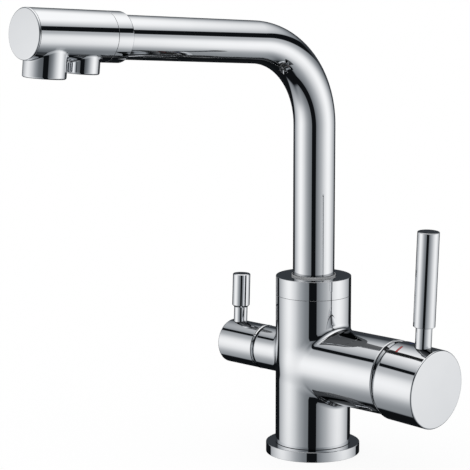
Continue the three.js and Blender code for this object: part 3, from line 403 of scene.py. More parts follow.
# %% [markdown]
# ## A skin with branches
# The tap's body has two round branches, and the spout's head has two outlets. On the real pieces they are
# cast or brazed and then polished, so a small hollow fillet joins the surfaces. A Boolean and a bevel would
# give uneven faces there, which chrome shows at once. So this helper bends flat grids into the skin. A
# plain tile is a grid wrapped on a cylinder. A branch tile starts as a rectangle on the cylinder, shrinks
# towards the joint, rolls over it, and runs out along the branch. Then each of its vertices slides onto the
# melted surface of both cylinders. There the two distances, to the skin of the column and to the skin of
# the branch, are blended with a soft minimum. Where the skins meet at a right angle that makes a small
# fillet, and where they almost lie in each other it fades out, as a polishing wheel leaves it. Each vertex
# also keeps the true normal of its surface, so the mirror image has no facets.


# %% Bent grids
def wrap_grid(bm, columns, rows, place):
    """A flat grid whose vertex in column i and row j moves to place(i, j), a point in mm and a normal.

    A normal of length 0 leaves that vertex to Blender's own shading.
    """
    keep = bm.verts.layers.float_vector.get("true_normal") or bm.verts.layers.float_vector.new("true_normal")
    made = bmesh.ops.create_grid(bm, x_segments=columns, y_segments=rows, size=0.5)["verts"]
    for vert in made:
        i = round((vert.co.x + 0.5) * columns)
        j = round((vert.co.y + 0.5) * rows)
        point, normal = place(i, j)
        vert.co = point * MM
        vert[keep] = normal


def round_rows(bm, stations, start, end, columns):
    """Rows of a turned surface about Z between two angles in degrees.

    A station is a radius, a height and a normal: its share outward and its share upward, or None.
    """

    def place(i, j):
        angle = math.radians(start + (end - start) * i / columns)
        out = Vector((math.cos(angle), math.sin(angle), 0))
        radius, along, normal = stations[j]
        point = out * radius + Vector((0, 0, along))
        return point, Vector() if normal is None else out * normal[0] + Vector((0, 0, normal[1]))

    wrap_grid(bm, columns, len(stations) - 1, place)


def rounded(radius, along, size, count=4, lift=1):
    """Stations of a rounded outer corner, from the side to the face; lift is -1 for a lower corner."""
    stations = []
    for i in range(count + 1):
        angle = math.radians(90 * i / count)
        outward, upward = math.cos(angle), math.sin(angle)
        level = along - lift * (size - size * upward)
        stations.append((radius - size + size * outward, level, (outward, lift * upward)))
    return stations


def pocket(face, steps):
    """Stations of a stepped pocket in a flat face: steps lists (radius, floor), the widest first."""
    stations = [(steps[0][0], face, (0, 1))]
    narrower = [radius for radius, _ in steps[1:]] + [0.0]
    for (radius, floor), inner in zip(steps, narrower):
        stations += [(radius, floor, None), (inner, floor, None)]
    return stations


print("bent grids ready")


# %% Melted skin
SLIDES = 6  # steps of a vertex towards the skin
THINNEST = 0.7  # share of the fillet that is left where the two skins almost lie in each other
FADE = 1.3  # how fast the fillet grows as the skins part
BACK = 6.0  # mm behind the column's axis within which a branch is gone


def melt(point, radius, height, size, out, blend):
    """Slides a point onto the melted skin of a cylinder about Z and a branch; also gives the normal."""
    for _ in range(SLIDES):
        first = Vector((point.x, point.y, 0))
        reach = point.dot(out)
        second = point - out * reach - Vector((0, 0, height))
        gap_one, gap_two = first.length - radius, second.length - size
        first.normalize()
        second.normalize()
        width = blend * max(THINNEST, min(1.0, FADE * (1 - first.dot(second))))
        if reach < 0:
            gap_two += reach**2 / BACK**2
            second += out * (2 * reach / BACK**2)
        share = min(1.0, max(0.0, 0.5 + 0.5 * (gap_two - gap_one) / width))
        gap = gap_two + (gap_one - gap_two) * share - width * share * (1 - share)
        slope = second.lerp(first, share)
        point = point - slope * (gap / slope.length_squared)
    return point, slope.normalized()


print("melted skin ready")


# %% Tile with a branch
ROLL_INSIDE = 0.8  # mm by which the joint's ring is narrower than the branch
ROLL_SHARE = 0.9  # share of the fillet over which the ring rolls


def branch_tile(bm, radius, tile, branch, blend, stations, rings=9, roll=8, spread=0, lean_on=None):
    """A tile (start, end, low, high, columns, rows) of a cylinder about Z, with a branch in it.

    branch is (angle, height, radius). The melted skin runs over spread rows to the first station, and the
    stations continue the branch outward as (radius, distance, normal or None). blend 0 keeps a sharp joint.
    """
    start, end, low, high, columns, rows = tile
    facing, height, size = branch
    out = Vector((math.cos(math.radians(facing)), math.sin(math.radians(facing)), 0))
    side = Vector((-out.y, out.x, 0))
    up = Vector((0, 0, 1))
    count = 2 * (columns + rows)
    scale = radius if lean_on is None else lean_on
    thin, fillet = (size - ROLL_INSIDE, ROLL_SHARE * blend) if blend else (size, 0.0)

    def border_point(i):
        """Angle and height of a step along the tile's border, counter-clockwise from its lower left."""
        i %= count
        if i <= columns:
            return start + (end - start) * i / columns, low
        i -= columns
        if i <= rows:
            return end, low + (high - low) * i / rows
        i -= rows
        if i <= columns:
            return end - (end - start) * i / columns, high
        i -= columns
        return start, high - (high - low) * i / rows

    def place(i, j):
        angle, level = border_point(i)
        across = math.radians(angle - facing)
        phi = math.atan2(across * scale, level - height)
        turn_out = side * math.sin(phi) + up * math.cos(phi)
        ball_side, ball_up = (thin + fillet) * math.sin(phi), (thin + fillet) * math.cos(phi)
        ball_out = math.sqrt(max(0.0, (radius + fillet) ** 2 - ball_side**2))
        if j <= rings:
            share = j / rings
            hole_across = math.atan2(ball_side, ball_out)
            at = math.radians(facing) + across + (hole_across - across) * share
            level += (height + ball_up - level) * share
            away = Vector((math.cos(at), math.sin(at), 0))
            point, normal = away * radius + up * level, away
            return melt(point, radius, height, size, out, blend) if blend and j else (point, normal)
        if j <= rings + roll:
            ball = out * ball_out + side * ball_side + up * ball_up
            first = (out * ball_out + side * ball_side) / (radius + fillet)
            normal = first.slerp(turn_out, (j - rings) / roll, first)
            point = ball - normal * fillet + up * height
            return melt(point, radius, height, size, out, blend) if blend else (point, normal)
        if j < rings + roll + spread:
            share = (j - rings - roll) / spread
            point = out * (ball_out + (stations[0][1] - ball_out) * share) + turn_out * size + up * height
            return melt(point, radius, height, size, out, blend)
        wide, distance, normal = stations[j - rings - roll - max(1, spread)]
        point = out * distance + turn_out * wide + up * height
        return point, Vector() if normal is None else turn_out * normal[0] + out * normal[1]

    wrap_grid(bm, count, rings + roll + max(1, spread) + len(stations) - 1, place)


print("branch tiles ready")


# %% Closing and shading a skin
def close_skin(bm):
    """Joins the tiles' borders, turns the faces outward and counts the edges that are still open."""
    bmesh.ops.remove_doubles(bm, verts=bm.verts, dist=2e-6)
    bmesh.ops.dissolve_degenerate(bm, dist=1e-7, edges=bm.edges)
    bmesh.ops.recalc_face_normals(bm, faces=bm.faces)
    return sum(e.is_boundary for e in bm.edges)


def keep_true_normals(made):
    """Gives the skin its surface's own normals; the faces inside bores keep Blender's."""
    mesh = made.data
    true = [Vector(item.vector) for item in mesh.attributes["true_normal"].data]
    turned_by = made.matrix_world.to_3x3()
    normals = [Vector()] * len(mesh.loops)
    for face in mesh.polygons:
        if all(true[v].length > 0.5 for v in face.vertices):
            for loop in face.loop_indices:
                normals[loop] = turned_by @ true[mesh.loops[loop].vertex_index]
    mesh.normals_split_custom_set(normals)
    mesh.attributes.remove(mesh.attributes["true_normal"])


def turn_true_normals(bm, move):
    """Turns the kept normals with the skin."""
    layer = bm.verts.layers.float_vector["true_normal"]
    for vert in bm.verts:
        vert[layer] = move.to_3x3() @ vert[layer]


print("closing and shading ready")

# %% [markdown]
# ## The body
# The column and the mixer branch have the same radius, so at the front they run into each other without an
# edge. The filter branch is smaller and sits 3 mm higher. Each branch ends in the pocket of its valve, the
# top in the bore of the spout's foot. The column is made of two tiles, a wide one that carries the mixer
# branch and a narrow one for the filter branch, between plain rows above and below.

# %% Body skin
BODY = cad_end("collar_nut", "x")
MIXER_PIVOT, _, MIXER_HEIGHT = joint_place("mixer_lift")
FILTER_HEIGHT = joint_place("filter_turn")[2]
COLUMN_STEP = 4  # degrees between two upright rows
TILE_EDGE = 116  # degrees from the middle of the mixer branch to the border of its tile
TILE_LOW, TILE_HIGH = MIXER_HEIGHT - 37.5, MIXER_HEIGHT + 37.5
TILE_ROWS = 20
ALL_ROUND = (-TILE_EDGE, 360 - TILE_EDGE, 360 // COLUMN_STEP)
body = bmesh.new()

# %% Mixer branch
MIXER_END = 72.3
MIXER_FILLET = 4.2
mixer_branch = [
    *[(BODY, along, (1, 0)) for along in (33.0, 45.0, 58.0)],
    *rounded(BODY, MIXER_END, 1.0),
    *pocket(MIXER_END, [(22.0, 66.7), (19.8, 56.4), (17.9, 27.6)]),
]
mixer_tile = (-TILE_EDGE, TILE_EDGE, TILE_LOW, TILE_HIGH, 2 * TILE_EDGE // COLUMN_STEP, TILE_ROWS)
branch_tile(
    body, BODY, mixer_tile, (0, MIXER_HEIGHT, BODY), MIXER_FILLET, mixer_branch, rings=14, roll=10, spread=12
)
print("faces with the mixer branch:", len(body.faces))

# %% Filter branch
FILTER = 15.0
FILTER_END = 42.6
FILTER_FILLET = 3.2
filter_branch = [
    (FILTER, 30.0, (1, 0)), (FILTER, 36.0, (1, 0)), *rounded(FILTER, FILTER_END, 2.0, count=6),
    *pocket(FILTER_END, [(10.6, 24.0)]),
]
filter_columns = (360 - 2 * TILE_EDGE) // COLUMN_STEP
filter_tile = (TILE_EDGE, 360 - TILE_EDGE, TILE_LOW, TILE_HIGH, filter_columns, TILE_ROWS)
branch_tile(
    body, BODY, filter_tile, (180, FILTER_HEIGHT, FILTER), FILTER_FILLET, filter_branch,
    rings=10, roll=10, spread=6,
)
print("faces with the filter branch:", len(body.faces))

# %% Top and foot of the body
BODY_TOP = 109.18
top_rows = [
    (BODY, TILE_HIGH, (1, 0)), *rounded(BODY, BODY_TOP, 0.1),
    *pocket(BODY_TOP, [(20.5, 99.1), (12.0, 83.7), (6.4, 81.2), (4.8, 65.7)]),
]
round_rows(body, top_rows, *ALL_ROUND)
shoulder = FLANGE_TOP + SEAT_GAP
foot_rows = [(BODY, TILE_LOW, (1, 0)), (BODY, shoulder, (1, 0)), (FOOT, shoulder, None), (FOOT, 0.0, None)]
round_rows(body, foot_rows, *ALL_ROUND)
print("open edges before the underside:", close_skin(body))

# %% [markdown]
# The underside has the sockets of the three supply pipes and the holes of the two fixing studs. Their
# circles are drawn inside the foot's rim and the face between them is filled. Each circle is then extruded
# upward and closed at its depth.


# %% Sockets and stud holes in the underside
def verts_of(geometry):
    return [part for part in geometry if isinstance(part, bmesh.types.BMVert)]


def edges_of(geometry):
    return [part for part in geometry if isinstance(part, bmesh.types.BMEdge)]


SOCKET = (4.7, 18)  # radius and depth
STUD_HOLE = (4.0, 16)
rim = [e for e in body.edges if e.is_boundary]
holes = []
for x, y, (radius, depth) in (
    (8, 9, SOCKET), (8, -9, SOCKET), (-11, 0, SOCKET), (-6.01, 14.8, STUD_HOLE), (-6.01, -14.8, STUD_HOLE),
):
    ring = bmesh.ops.create_circle(
        body, cap_ends=False, radius=radius * MM, segments=32, matrix=shift(x, y, 0)
    )
    holes.append((list({e for v in ring["verts"] for e in v.link_edges}), depth))
around = rim + [e for edges, _ in holes for e in edges]
bmesh.ops.triangle_fill(body, edges=around, use_beauty=True, normal=(0, 0, -1))
for edges, depth in holes:
    wall = bmesh.ops.extrude_edge_only(body, edges=edges)["geom"]
    bmesh.ops.translate(body, vec=(0, 0, depth * MM), verts=verts_of(wall))
    bmesh.ops.holes_fill(body, edges=[e for e in edges_of(wall) if e.is_boundary], sides=0)
print("open edges:", close_skin(body), "faces:", len(body.faces))
tap_column = make_piece("polished_body", body, "tap_base", "chrome_trim", "tap_body", weigh=False)
keep_true_normals(tap_column)

# %% [markdown]
# ## Collar nut and bush
# The nut screws into the body and holds the swivel spout down. The seam between the two is a fine line
# round the column. A thin plastic bush stands a millimetre proud of the nut round the riser, so that metal
# never rubs on metal.

# %% Collar
COLLAR_TOP = cad_end("collar_nut", "z")
COLLAR_FOOT = 109.32
COLLAR_BORE = 15.2
THREAD, THREAD_FOOT = 20.0, 99.4
RECESS, RECESS_TOP = 16.3, 104.3
collar = turned(
    [
        (RECESS, THREAD_FOOT), (THREAD, THREAD_FOOT), (THREAD, COLLAR_FOOT), (BODY, COLLAR_FOOT),
        (BODY, COLLAR_TOP), (COLLAR_BORE, COLLAR_TOP), (COLLAR_BORE, RECESS_TOP), (RECESS, RECESS_TOP),
    ],
    edges=[(3, 0.1), (4, 0.3), (5, 0.15)],
)
make_piece("polished_collar", collar, "tap_base", "chrome_trim", "collar_nut")

# %% Bush
BUSH_IN, BUSH_OUT = 14.4, 14.9
BUSH_TOP = cad_end("swivel_bush", "z")
bush = turned(
    [(BUSH_IN, RECESS_TOP), (BUSH_OUT, RECESS_TOP), (BUSH_OUT, BUSH_TOP), (BUSH_IN, BUSH_TOP)],
    edges=[(2, 0.15), (3, 0.15)],
)
make_piece("riser_bush", bush, "tap_base", "grey_plastic", "swivel_bush")

# %% [markdown]
# ## The spout's tube
# The tube is bent on a former, so it has one even radius between two straight runs. A circle is extruded up
# the riser, spun about the former's axis, and extruded along the arm. Solidify then gives it its wall. The
# whole spout is turned a little to the side, as it stands in the picture, and the arm rises to its tip.

# %% The former's sizes
TUBE = 14.0
TUBE_WALL = 1.2
TUBE_FOOT = 102.7
TUBE_TIP = 183.6  # along the arm, from where its axis crosses the riser's
BEND = 59.6
ARM_RISE = 5.5
CROSSING = 278.0
SWING = rotate(-6.1, "Z")
bend_angle = math.radians(90 - ARM_RISE)
before_bend = BEND * math.tan(bend_angle / 2)
bend_start = CROSSING - before_bend
print("the bend starts at", round(bend_start, 1), "mm")


# %% Tube
def carry_on(bm, edges, move):
    """Extrudes a loop of edges, moves the new loop, and returns it."""
    made = bmesh.ops.extrude_edge_only(bm, edges=edges)["geom"]
    bmesh.ops.translate(bm, vec=move, verts=verts_of(made))
    return edges_of(made)


tube = bmesh.new()
ring = bmesh.ops.create_circle(
    tube, cap_ends=False, radius=TUBE * MM, segments=96, matrix=shift(0, 0, TUBE_FOOT)
)
loop = list({e for v in ring["verts"] for e in v.link_edges})
loop = carry_on(tube, loop, (0, 0, (bend_start - TUBE_FOOT) * MM))
bent = bmesh.ops.spin(
    tube, geom=loop, cent=(0, -BEND * MM, bend_start * MM), axis=(1, 0, 0), angle=bend_angle, steps=56
)
arm_along = Vector((0, -math.cos(math.radians(ARM_RISE)), math.sin(math.radians(ARM_RISE))))
carry_on(tube, edges_of(bent["geom_last"]), arm_along * ((TUBE_TIP - before_bend) * MM))
bmesh.ops.remove_doubles(tube, verts=tube.verts, dist=1e-7)
bmesh.ops.recalc_face_normals(tube, faces=tube.faces)
print("tube reaches", [round(x / MM, 1) for x in max((v.co for v in tube.verts), key=lambda c: -c.y)])
set_in(tube, SWING)
spout_pipe = make_piece("bent_spout", tube, "spout", "chrome_trim", "spout_tube")
wall = spout_pipe.modifiers.new("wall", "SOLIDIFY")
wall.thickness = TUBE_WALL * MM
wall.offset = -1
spout_pipe.modifiers.move(1, 0)

# %% [markdown]
# ## The head of the spout
# The head is a thicker sleeve in three parts: a collar with a rounded edge, the sleeve with both outlets,
# and a flat disc that closes its end. Two fine seams show between them. It is modelled upright, with its
# length along Z, and then laid along the arm. Each outlet has a tile of its own outside, and a second one
# lines the bore behind it. Plain rows make the other side, and narrow rows close the two ends.

# %% Sizes of the head
HEAD = 16.1
HEAD_BORE = 13.2
HEAD_START, HEAD_END = 177.52, 236.78
SPLIT = 205.55  # where the tiles of the two outlets meet
RIM = 0.2  # the plain rows and the tiles stop this far from the sleeve's ends
OUTLETS = ((220.8, 13.6, 26.6, 11.3), (192.7, 11.2, 23.3, 8.9))  # place, radius, drop and bore
SPANS = ((SPLIT, HEAD_END - RIM), (HEAD_START + RIM, SPLIT))
HEAD_STEP = 5  # degrees between two rows
HEAD_EDGE = 100  # degrees from the middle of the outlets to the border of their tiles
HEAD_ROWS = 8
LAY_ON_ARM = Matrix(((0, 1, 0, 0), (0, 0, -1, 0), (-1, 0, 0, 0), (0, 0, 0, 1)))
ON_ARM = [LAY_ON_ARM, rotate(-ARM_RISE, "X"), shift(0, 0, CROSSING), SWING]
print("outlets", [outlet[0] for outlet in OUTLETS], "mm along the arm")

# %% Sleeve with two outlets
head = bmesh.new()
for (place, size, drop, bore), (low, high) in zip(OUTLETS, SPANS):
    tile = (-HEAD_EDGE, HEAD_EDGE, low, high, 2 * HEAD_EDGE // HEAD_STEP, HEAD_ROWS)
    lip = [(size, HEAD + 1.0, (1, 0)), *rounded(size, drop, 1.2), (bore, drop, (0, 1))]
    branch_tile(head, HEAD, tile, (0, place, size), 1.0, lip, rings=7, roll=7, spread=6)
    branch_tile(
        head, HEAD_BORE, tile, (0, place, bore), 0.0, [(bore, drop, None)], rings=7, roll=1, lean_on=HEAD
    )
for low, high in SPANS:
    for radius, normal in ((HEAD, (1, 0)), (HEAD_BORE, None)):
        rows = [(radius, low + (high - low) * j / HEAD_ROWS, normal) for j in range(HEAD_ROWS + 1)]
        round_rows(head, rows, HEAD_EDGE, 360 - HEAD_EDGE, (360 - 2 * HEAD_EDGE) // HEAD_STEP)
for end, lift in ((HEAD_END, 1), (HEAD_START, -1)):
    face = [(HEAD_BORE, end, (0, lift)), (HEAD_BORE, end - lift * RIM, None)]
    rows = [*rounded(HEAD, end, 0.12, count=3, lift=lift), *face]
    round_rows(head, rows, -HEAD_EDGE, 360 - HEAD_EDGE, 360 // HEAD_STEP)
print("open edges of the head:", close_skin(head), "faces:", len(head.faces))
turn_true_normals(head, joined(ON_ARM))
set_in(head, *ON_ARM)
sleeve = make_piece("outlet_sleeve", head, "spout", "chrome_trim", "spout_head", weigh=False)
keep_true_normals(sleeve)

# %% Collar of the head
RING_BORE = 14.3
RING_START, RING_END = 165.2, 177.38
head_ring = turned(
    [(RING_BORE, RING_START), (HEAD, RING_START), (HEAD, RING_END), (RING_BORE, RING_END)],
    edges=[(1, 1.2), (2, 0.12)], segments=5,
)
make_piece("sleeve_collar", set_in(head_ring, *ON_ARM), "spout", "chrome_trim", "head_collar")

# %% End disc of the head
SPIGOT, SPIGOT_START = 12.7, 232.6
DISC_START, ARM_END = 236.92, 238.2
end_disc = turned(
    [
        (0, SPIGOT_START), (SPIGOT, SPIGOT_START), (SPIGOT, DISC_START), (HEAD, DISC_START), (HEAD, ARM_END),
        (0, ARM_END),
    ],
    edges=[(3, 0.15), (4, 0.9)],
)
make_piece("sleeve_end_disc", set_in(end_disc, *ON_ARM), "spout", "chrome_trim", "head_end_plug")

# %% [markdown]
# ## Inside the outlets
# From below, the wide outlet shows an aerator: a plastic ring that holds a fine steel mesh. The narrow one
# has a plastic insert with seven spray holes. The mesh is a grid whose faces become wires.

# %% Aerator ring
FINE_STEPS = 96
DROP_MAIN, DROP_FILTERED = ([DOWN, shift(0, -outlet[0], 0), *ON_ARM[1:]] for outlet in OUTLETS)
housing = turned(
    [(9.6, 15.9), (11.0, 15.9), (11.0, 25.9), (9.6, 25.9)], edges=[(2, 0.3), (3, 0.3)], steps=FINE_STEPS
)
make_piece("aerator_ring", set_in(housing, *DROP_MAIN), "spout", "grey_plastic", "main_aerator_housing")

# %% Aerator mesh
MESH_RADIUS, MESH_AT, WIRE = 8.9, 24.0, 0.28
gauze = bmesh.new()
bmesh.ops.create_grid(gauze, x_segments=15, y_segments=15, size=9.3 * MM, matrix=shift(0, 0, MESH_AT))
outside = [f for f in gauze.faces if math.hypot(*f.calc_center_median().xy) > MESH_RADIUS * MM]
bmesh.ops.delete(gauze, geom=outside, context="FACES")
bmesh.ops.wireframe(
    gauze, faces=gauze.faces[:], thickness=WIRE * MM, use_boundary=True, use_even_offset=True,
    use_replace=True,
)
make_piece("aerator_gauze", set_in(gauze, *DROP_MAIN), "spout", "stainless_steel", "main_aerator_screen")


# %% Cutting helper
def cut_away(made, cutters):
    """Boolean differences, applied at once so that the piece keeps a plain mesh."""
    for number, bm in enumerate(cutters):
        mesh = bpy.data.meshes.new("cutter")
        bm.to_mesh(mesh)
        bm.free()
        cutter = bpy.data.objects.new("cutter", mesh)
        bpy.context.scene.collection.objects.link(cutter)
        cut = made.modifiers.new(f"cut_{number}", "BOOLEAN")
        cut.operation = "DIFFERENCE"
        cut.solver = "EXACT"
        cut.object = cutter
        made.modifiers.move(len(made.modifiers) - 1, 0)
        with bpy.context.temp_override(object=made, active_object=made, selected_objects=[made]):
            bpy.ops.object.modifier_apply(modifier=cut.name)
        bpy.data.objects.remove(cutter)
    made.data.set_sharp_from_angle(angle=SHARP_FROM)
    print(made.name, "after cutting:", len(made.data.polygons), "faces")


def rod(radius, start, end, steps=64, edges=()):
    """A plain round bar along Z."""
    return turned([(0, start), (radius, start), (radius, end), (0, end)], edges=edges, steps=steps)


print("cutting helper ready")

# %% Spray insert
HOLES_ROUND = 6
HOLE, HOLE_CIRCLE = 1.1, 4.2
insert = set_in(rod(8.6, 16.0, 22.6, steps=FINE_STEPS, edges=[(2, 0.4)]), *DROP_FILTERED)
spray = make_piece("spray_insert", insert, "spout", "white_plastic", "filter_flow_insert")
nozzles = []
for number in range(HOLES_ROUND + 1):
    reach = 0 if number == 0 else HOLE_CIRCLE
    angle = math.tau * number / HOLES_ROUND
    away = shift(reach * math.cos(angle), reach * math.sin(angle), 0)
    nozzles.append(set_in(rod(HOLE, 15.0, 23.6, steps=24), away, *DROP_FILTERED))
cut_away(spray, nozzles)

# %% [markdown]
# ## The mixer's dome ring
# In the gap between the branch and the cap sits a polished ring whose face is part of a ball round the
# handle's pivot, so the cap's rim can run past it at every tilt.

# %% Dome ring
DOME, DOME_INSIDE = 33.29, 31.49
RING_FOOT = 67.0
ON_MIXER = [TO_RIGHT, shift(0, 0, MIXER_HEIGHT)]
dome = turned(
    [
        (20.0, RING_FOOT), (21.7, RING_FOOT), (21.7, 72.6), *arc(0, MIXER_PIVOT, DOME, 42.8, 57.0, 10),
        *arc(0, MIXER_PIVOT, DOME_INSIDE, 57.0, 50.6, 4),
    ],
)
make_piece("dome_ring", set_in(dome, *ON_MIXER), "tap_base", "chrome_trim", "mixer_dome_ring")

# %% [markdown]
# ## The mixer's cap
# The cap is a deep cup with a rounded inner edge. Its hollow is a ball round the pivot, with a boss for the
# stem in its middle. The cap stands a little tilted outward, even when shut. After it is turned, the holes
# for the lever and its set screw, and the two pockets for the coloured dashes, are cut. Its sizes are
# measured from the pivot.

# %% Cap
ON_MIXER_HANDLE = [rotate(2.4, "Y"), shift(MIXER_PIVOT, 0, MIXER_HEIGHT)]
CAP = 26.4
CAP_END = 57.4
CAP_FLOOR = 53.4
HOLLOW = 33.99
INNER_EDGE = 3.0
BOSS, BOSS_END = 9.5, 34.3
STEM_HOLE, STEM_HOLE_FLOOR = 4.3, 47.5
cap_outline = [
    (0, STEM_HOLE_FLOOR), (STEM_HOLE, STEM_HOLE_FLOOR), (STEM_HOLE, BOSS_END), (BOSS, BOSS_END),
    (BOSS, CAP_FLOOR), (22.5, CAP_FLOOR), *arc(0, 0, HOLLOW, 48.55, 44.05, 3),
    *arc(CAP - INNER_EDGE, 26.45, INNER_EDGE, -70, 0, 14)[1:], (CAP, CAP_END), (0, CAP_END),
]
cap = turned(cap_outline, edges=[(len(cap_outline) - 2, 1.1)], steps=160)
set_in(cap, TO_RIGHT, *ON_MIXER_HANDLE)
mixer_cup = make_piece("mixer_cup", cap, "mixer_handle", "chrome_trim", "mixer_cap")


# %% Holes and pockets of the cap
LEVER_AT = 44.5
SCREW_AT = 40.5
DASH_AT = 32.6
DASH_WIDTH = 1.2
DASH_FLOOR = 25.7
HOT_ARC = (15.3, 29.3)  # degrees round the cap from its top, to the front
COLD_ARC = (-16.3, -2.3)


def cap_dash(inner, outer, width, angles, spare=0.0):
    """A curved block on the cap: a grid wrapped round it, and made solid."""
    bm = bmesh.new()
    start, end = angles[0] - spare, angles[1] + spare
    for vert in bmesh.ops.create_grid(bm, x_segments=16, y_segments=2, size=0.5)["verts"]:
        angle = math.radians(start + (end - start) * (vert.co.x + 0.5))
        along = DASH_AT + width * vert.co.y
        vert.co = Vector((along, -outer * math.sin(angle), outer * math.cos(angle))) * MM
    bmesh.ops.recalc_face_normals(bm, faces=bm.faces)
    if sum(f.normal.dot(Vector((0, *f.calc_center_median().yz))) for f in bm.faces) < 0:
        bmesh.ops.reverse_faces(bm, faces=bm.faces)
    bmesh.ops.solidify(bm, geom=bm.faces[:], thickness=(outer - inner) * MM)
    return bm


lever_hole = set_in(rod(5.75, 19.7, 30), shift(LEVER_AT, 0, 0))
screw_hole = set_in(rod(2.8, 15, 30), DOWN, shift(SCREW_AT, 0, 0))
cutters = [lever_hole, screw_hole]
cutters += [cap_dash(25.4, 27.5, 1.8, angles, spare=0.65) for angles in (HOT_ARC, COLD_ARC)]
cut_away(mixer_cup, [set_in(bm, *ON_MIXER_HANDLE) for bm in cutters])

# %% [markdown]
# ## Hot and cold dashes
# A red and a blue dash of enamel lie flush in the cap, on either side of the lever.

# %% Dashes
for name, slot, node, angles in (
    ("hot_dash", "red_enamel", "hot_mark", HOT_ARC), ("cold_dash", "blue_enamel", "cold_mark", COLD_ARC),
):
    dash = set_in(cap_dash(DASH_FLOOR, CAP, DASH_WIDTH, angles), *ON_MIXER_HANDLE)
    make_piece(name, dash, "mixer_handle", slot, node)

# %% [markdown]
# ## Pin levers
# Each handle has a round pin with a narrower neck. Pin and neck are one turned piece, and its stud is
# screwed into the cap. The large pin's step has a rounded edge, the small one's a flat chamfer.


# %% Levers
def pin_lever(stud, neck, grip, top, edge, segments):
    """A pin of three turned parts; each is (radius, where it starts)."""
    parts = (stud, neck, grip)
    outline = [(0, stud[1])]
    for (radius, start), end in zip(parts, (neck[1], grip[1], top)):
        outline += [(radius, start), (radius, end)]
    outline.append((0, top))
    return turned(outline, edges=[(5, edge), (6, 0.5)], steps=FINE_STEPS, segments=segments)


lever = pin_lever((4.0, 13.0), (5.45, 20.0), (7.3, 40.0), top=103.2, edge=0.5, segments=4)
set_in(lever, shift(LEVER_AT, 0, 0), *ON_MIXER_HANDLE)
make_piece("mixer_pin", lever, "mixer_handle", "chrome_trim", "mixer_lever")

# %% Filter lever
FILTER_LEVER_AT = -68.0
ON_FILTER_HANDLE = [rotate(-2, "X"), shift(0, 0, FILTER_HEIGHT)]
small_lever = pin_lever((3.0, 6.5), (4.65, 11.5), (6.05, 24.4), top=48.0, edge=1.6, segments=1)
set_in(small_lever, shift(FILTER_LEVER_AT, 0, 0), *ON_FILTER_HANDLE)
make_piece("filter_pin", small_lever, "filter_handle", "chrome_trim", "filter_lever")

# %% [markdown]
# ## The filter valve's ring and cap
# The cap of the quarter-turn valve is a plain cup. A thin ring with a ridge trims the seam between it and
# its branch.

# %% Filter ring
TRIM_START, TRIM_RIDGE, TRIM_END = 42.9, 43.55, 44.2
trim = turned(
    [(10.6, TRIM_START), (14.9, TRIM_START), (15.2, TRIM_RIDGE), (14.9, TRIM_END), (10.6, TRIM_END)],
    steps=FINE_STEPS,
)
set_in(trim, TO_LEFT, shift(0, 0, FILTER_HEIGHT))
make_piece("filter_ring", trim, "tap_base", "chrome_trim", "filter_trim_ring")

# %% Filter cap
FILTER_CAP_START, FILTER_CAP_END = 44.5, 75.2
FILTER_CAP_BORE, FILTER_CAP_FLOOR = 12.8, 52.5
SPINDLE_HOLE, SPINDLE_FLOOR = 4.3, 61.3
filter_cap = turned(
    [
        (0, SPINDLE_FLOOR), (SPINDLE_HOLE, SPINDLE_FLOOR), (SPINDLE_HOLE, FILTER_CAP_FLOOR),
        (FILTER_CAP_BORE, FILTER_CAP_FLOOR), (FILTER_CAP_BORE, FILTER_CAP_START), (FILTER, FILTER_CAP_START),
        (FILTER, FILTER_CAP_END), (0, FILTER_CAP_END),
    ],
    edges=[(5, 0.2), (6, 1.2)],
)
set_in(filter_cap, TO_LEFT, *ON_FILTER_HANDLE)
filter_cup = make_piece("filter_cup", filter_cap, "filter_handle", "chrome_trim", "filter_cap")
lever_hole = set_in(rod(4.95, 11.2, 20), shift(FILTER_LEVER_AT, 0, 0))
screw_hole = set_in(rod(2.3, 8, 20), DOWN, shift(-56.0, 0, 0))
cutters = [lever_hole, screw_hole]
cut_away(filter_cup, [set_in(bm, *ON_FILTER_HANDLE) for bm in cutters])

# %% [markdown]
# ## The studio
# Chrome has hardly any colour of its own: what is seen is the studio in it. The mirror images in pieces at
# different places fit together when the walls stand 0.9 m from the tap. There is a bright wall on each
# side, brightest beside the tap and fading towards the front and the back, a black slot between them where
# the camera looks in, black cloth behind, and a large card overhead. The walls' upper edges and the card's
# edges are straight lines, with a black gap between them. The tent here is one ball of that size which
# only mirror rays see. Its pattern is built from the direction as seen from the ball's middle: the angle
# round the tap, the height above the floor, and how far it lies to the side.

# %% Tent directions
TENT, TENT_HEIGHT = 0.9, 0.1  # radius and height of the middle, in metres
CAMERA_AZIMUTH = -48.5
tent_material = bpy.data.materials.new("studio_tent")
tent_material.use_nodes = True
tree = tent_material.node_tree
tree.nodes.clear()
place = add_node(tree, "TexCoord").outputs["Object"]
moved = add_node(tree, "VectorMath", {0: place, 1: (0, 0, TENT_HEIGHT)}, operation="SUBTRACT").outputs[0]
direction = add_node(tree, "VectorMath", {0: moved}, operation="NORMALIZE").outputs[0]


def unit(round_by, up_by):
    """The direction that lies so many degrees to the right of the camera and so many above the floor."""
    a, e = math.radians(CAMERA_AZIMUTH + round_by), math.radians(up_by)
    return (math.cos(e) * math.cos(a), math.cos(e) * math.sin(a), math.sin(e))


def along(vector):
    """How far the looked-at direction goes along a fixed one."""
    return add_node(tree, "VectorMath", {0: direction, 1: vector}, operation="DOT_PRODUCT").outputs["Value"]


def calculate(operation, *values):
    """One Math node on sockets or numbers."""
    return add_node(tree, "Math", dict(enumerate(values)), operation=operation).outputs[0]


def fade(value, low, high, to_low=0.0, to_high=1.0):
    """A soft step between two values."""
    span = {"Value": value, "From Min": low, "From Max": high, "To Min": to_low, "To Max": to_high}
    return add_node(tree, "MapRange", span, interpolation_type="SMOOTHSTEP").outputs[0]


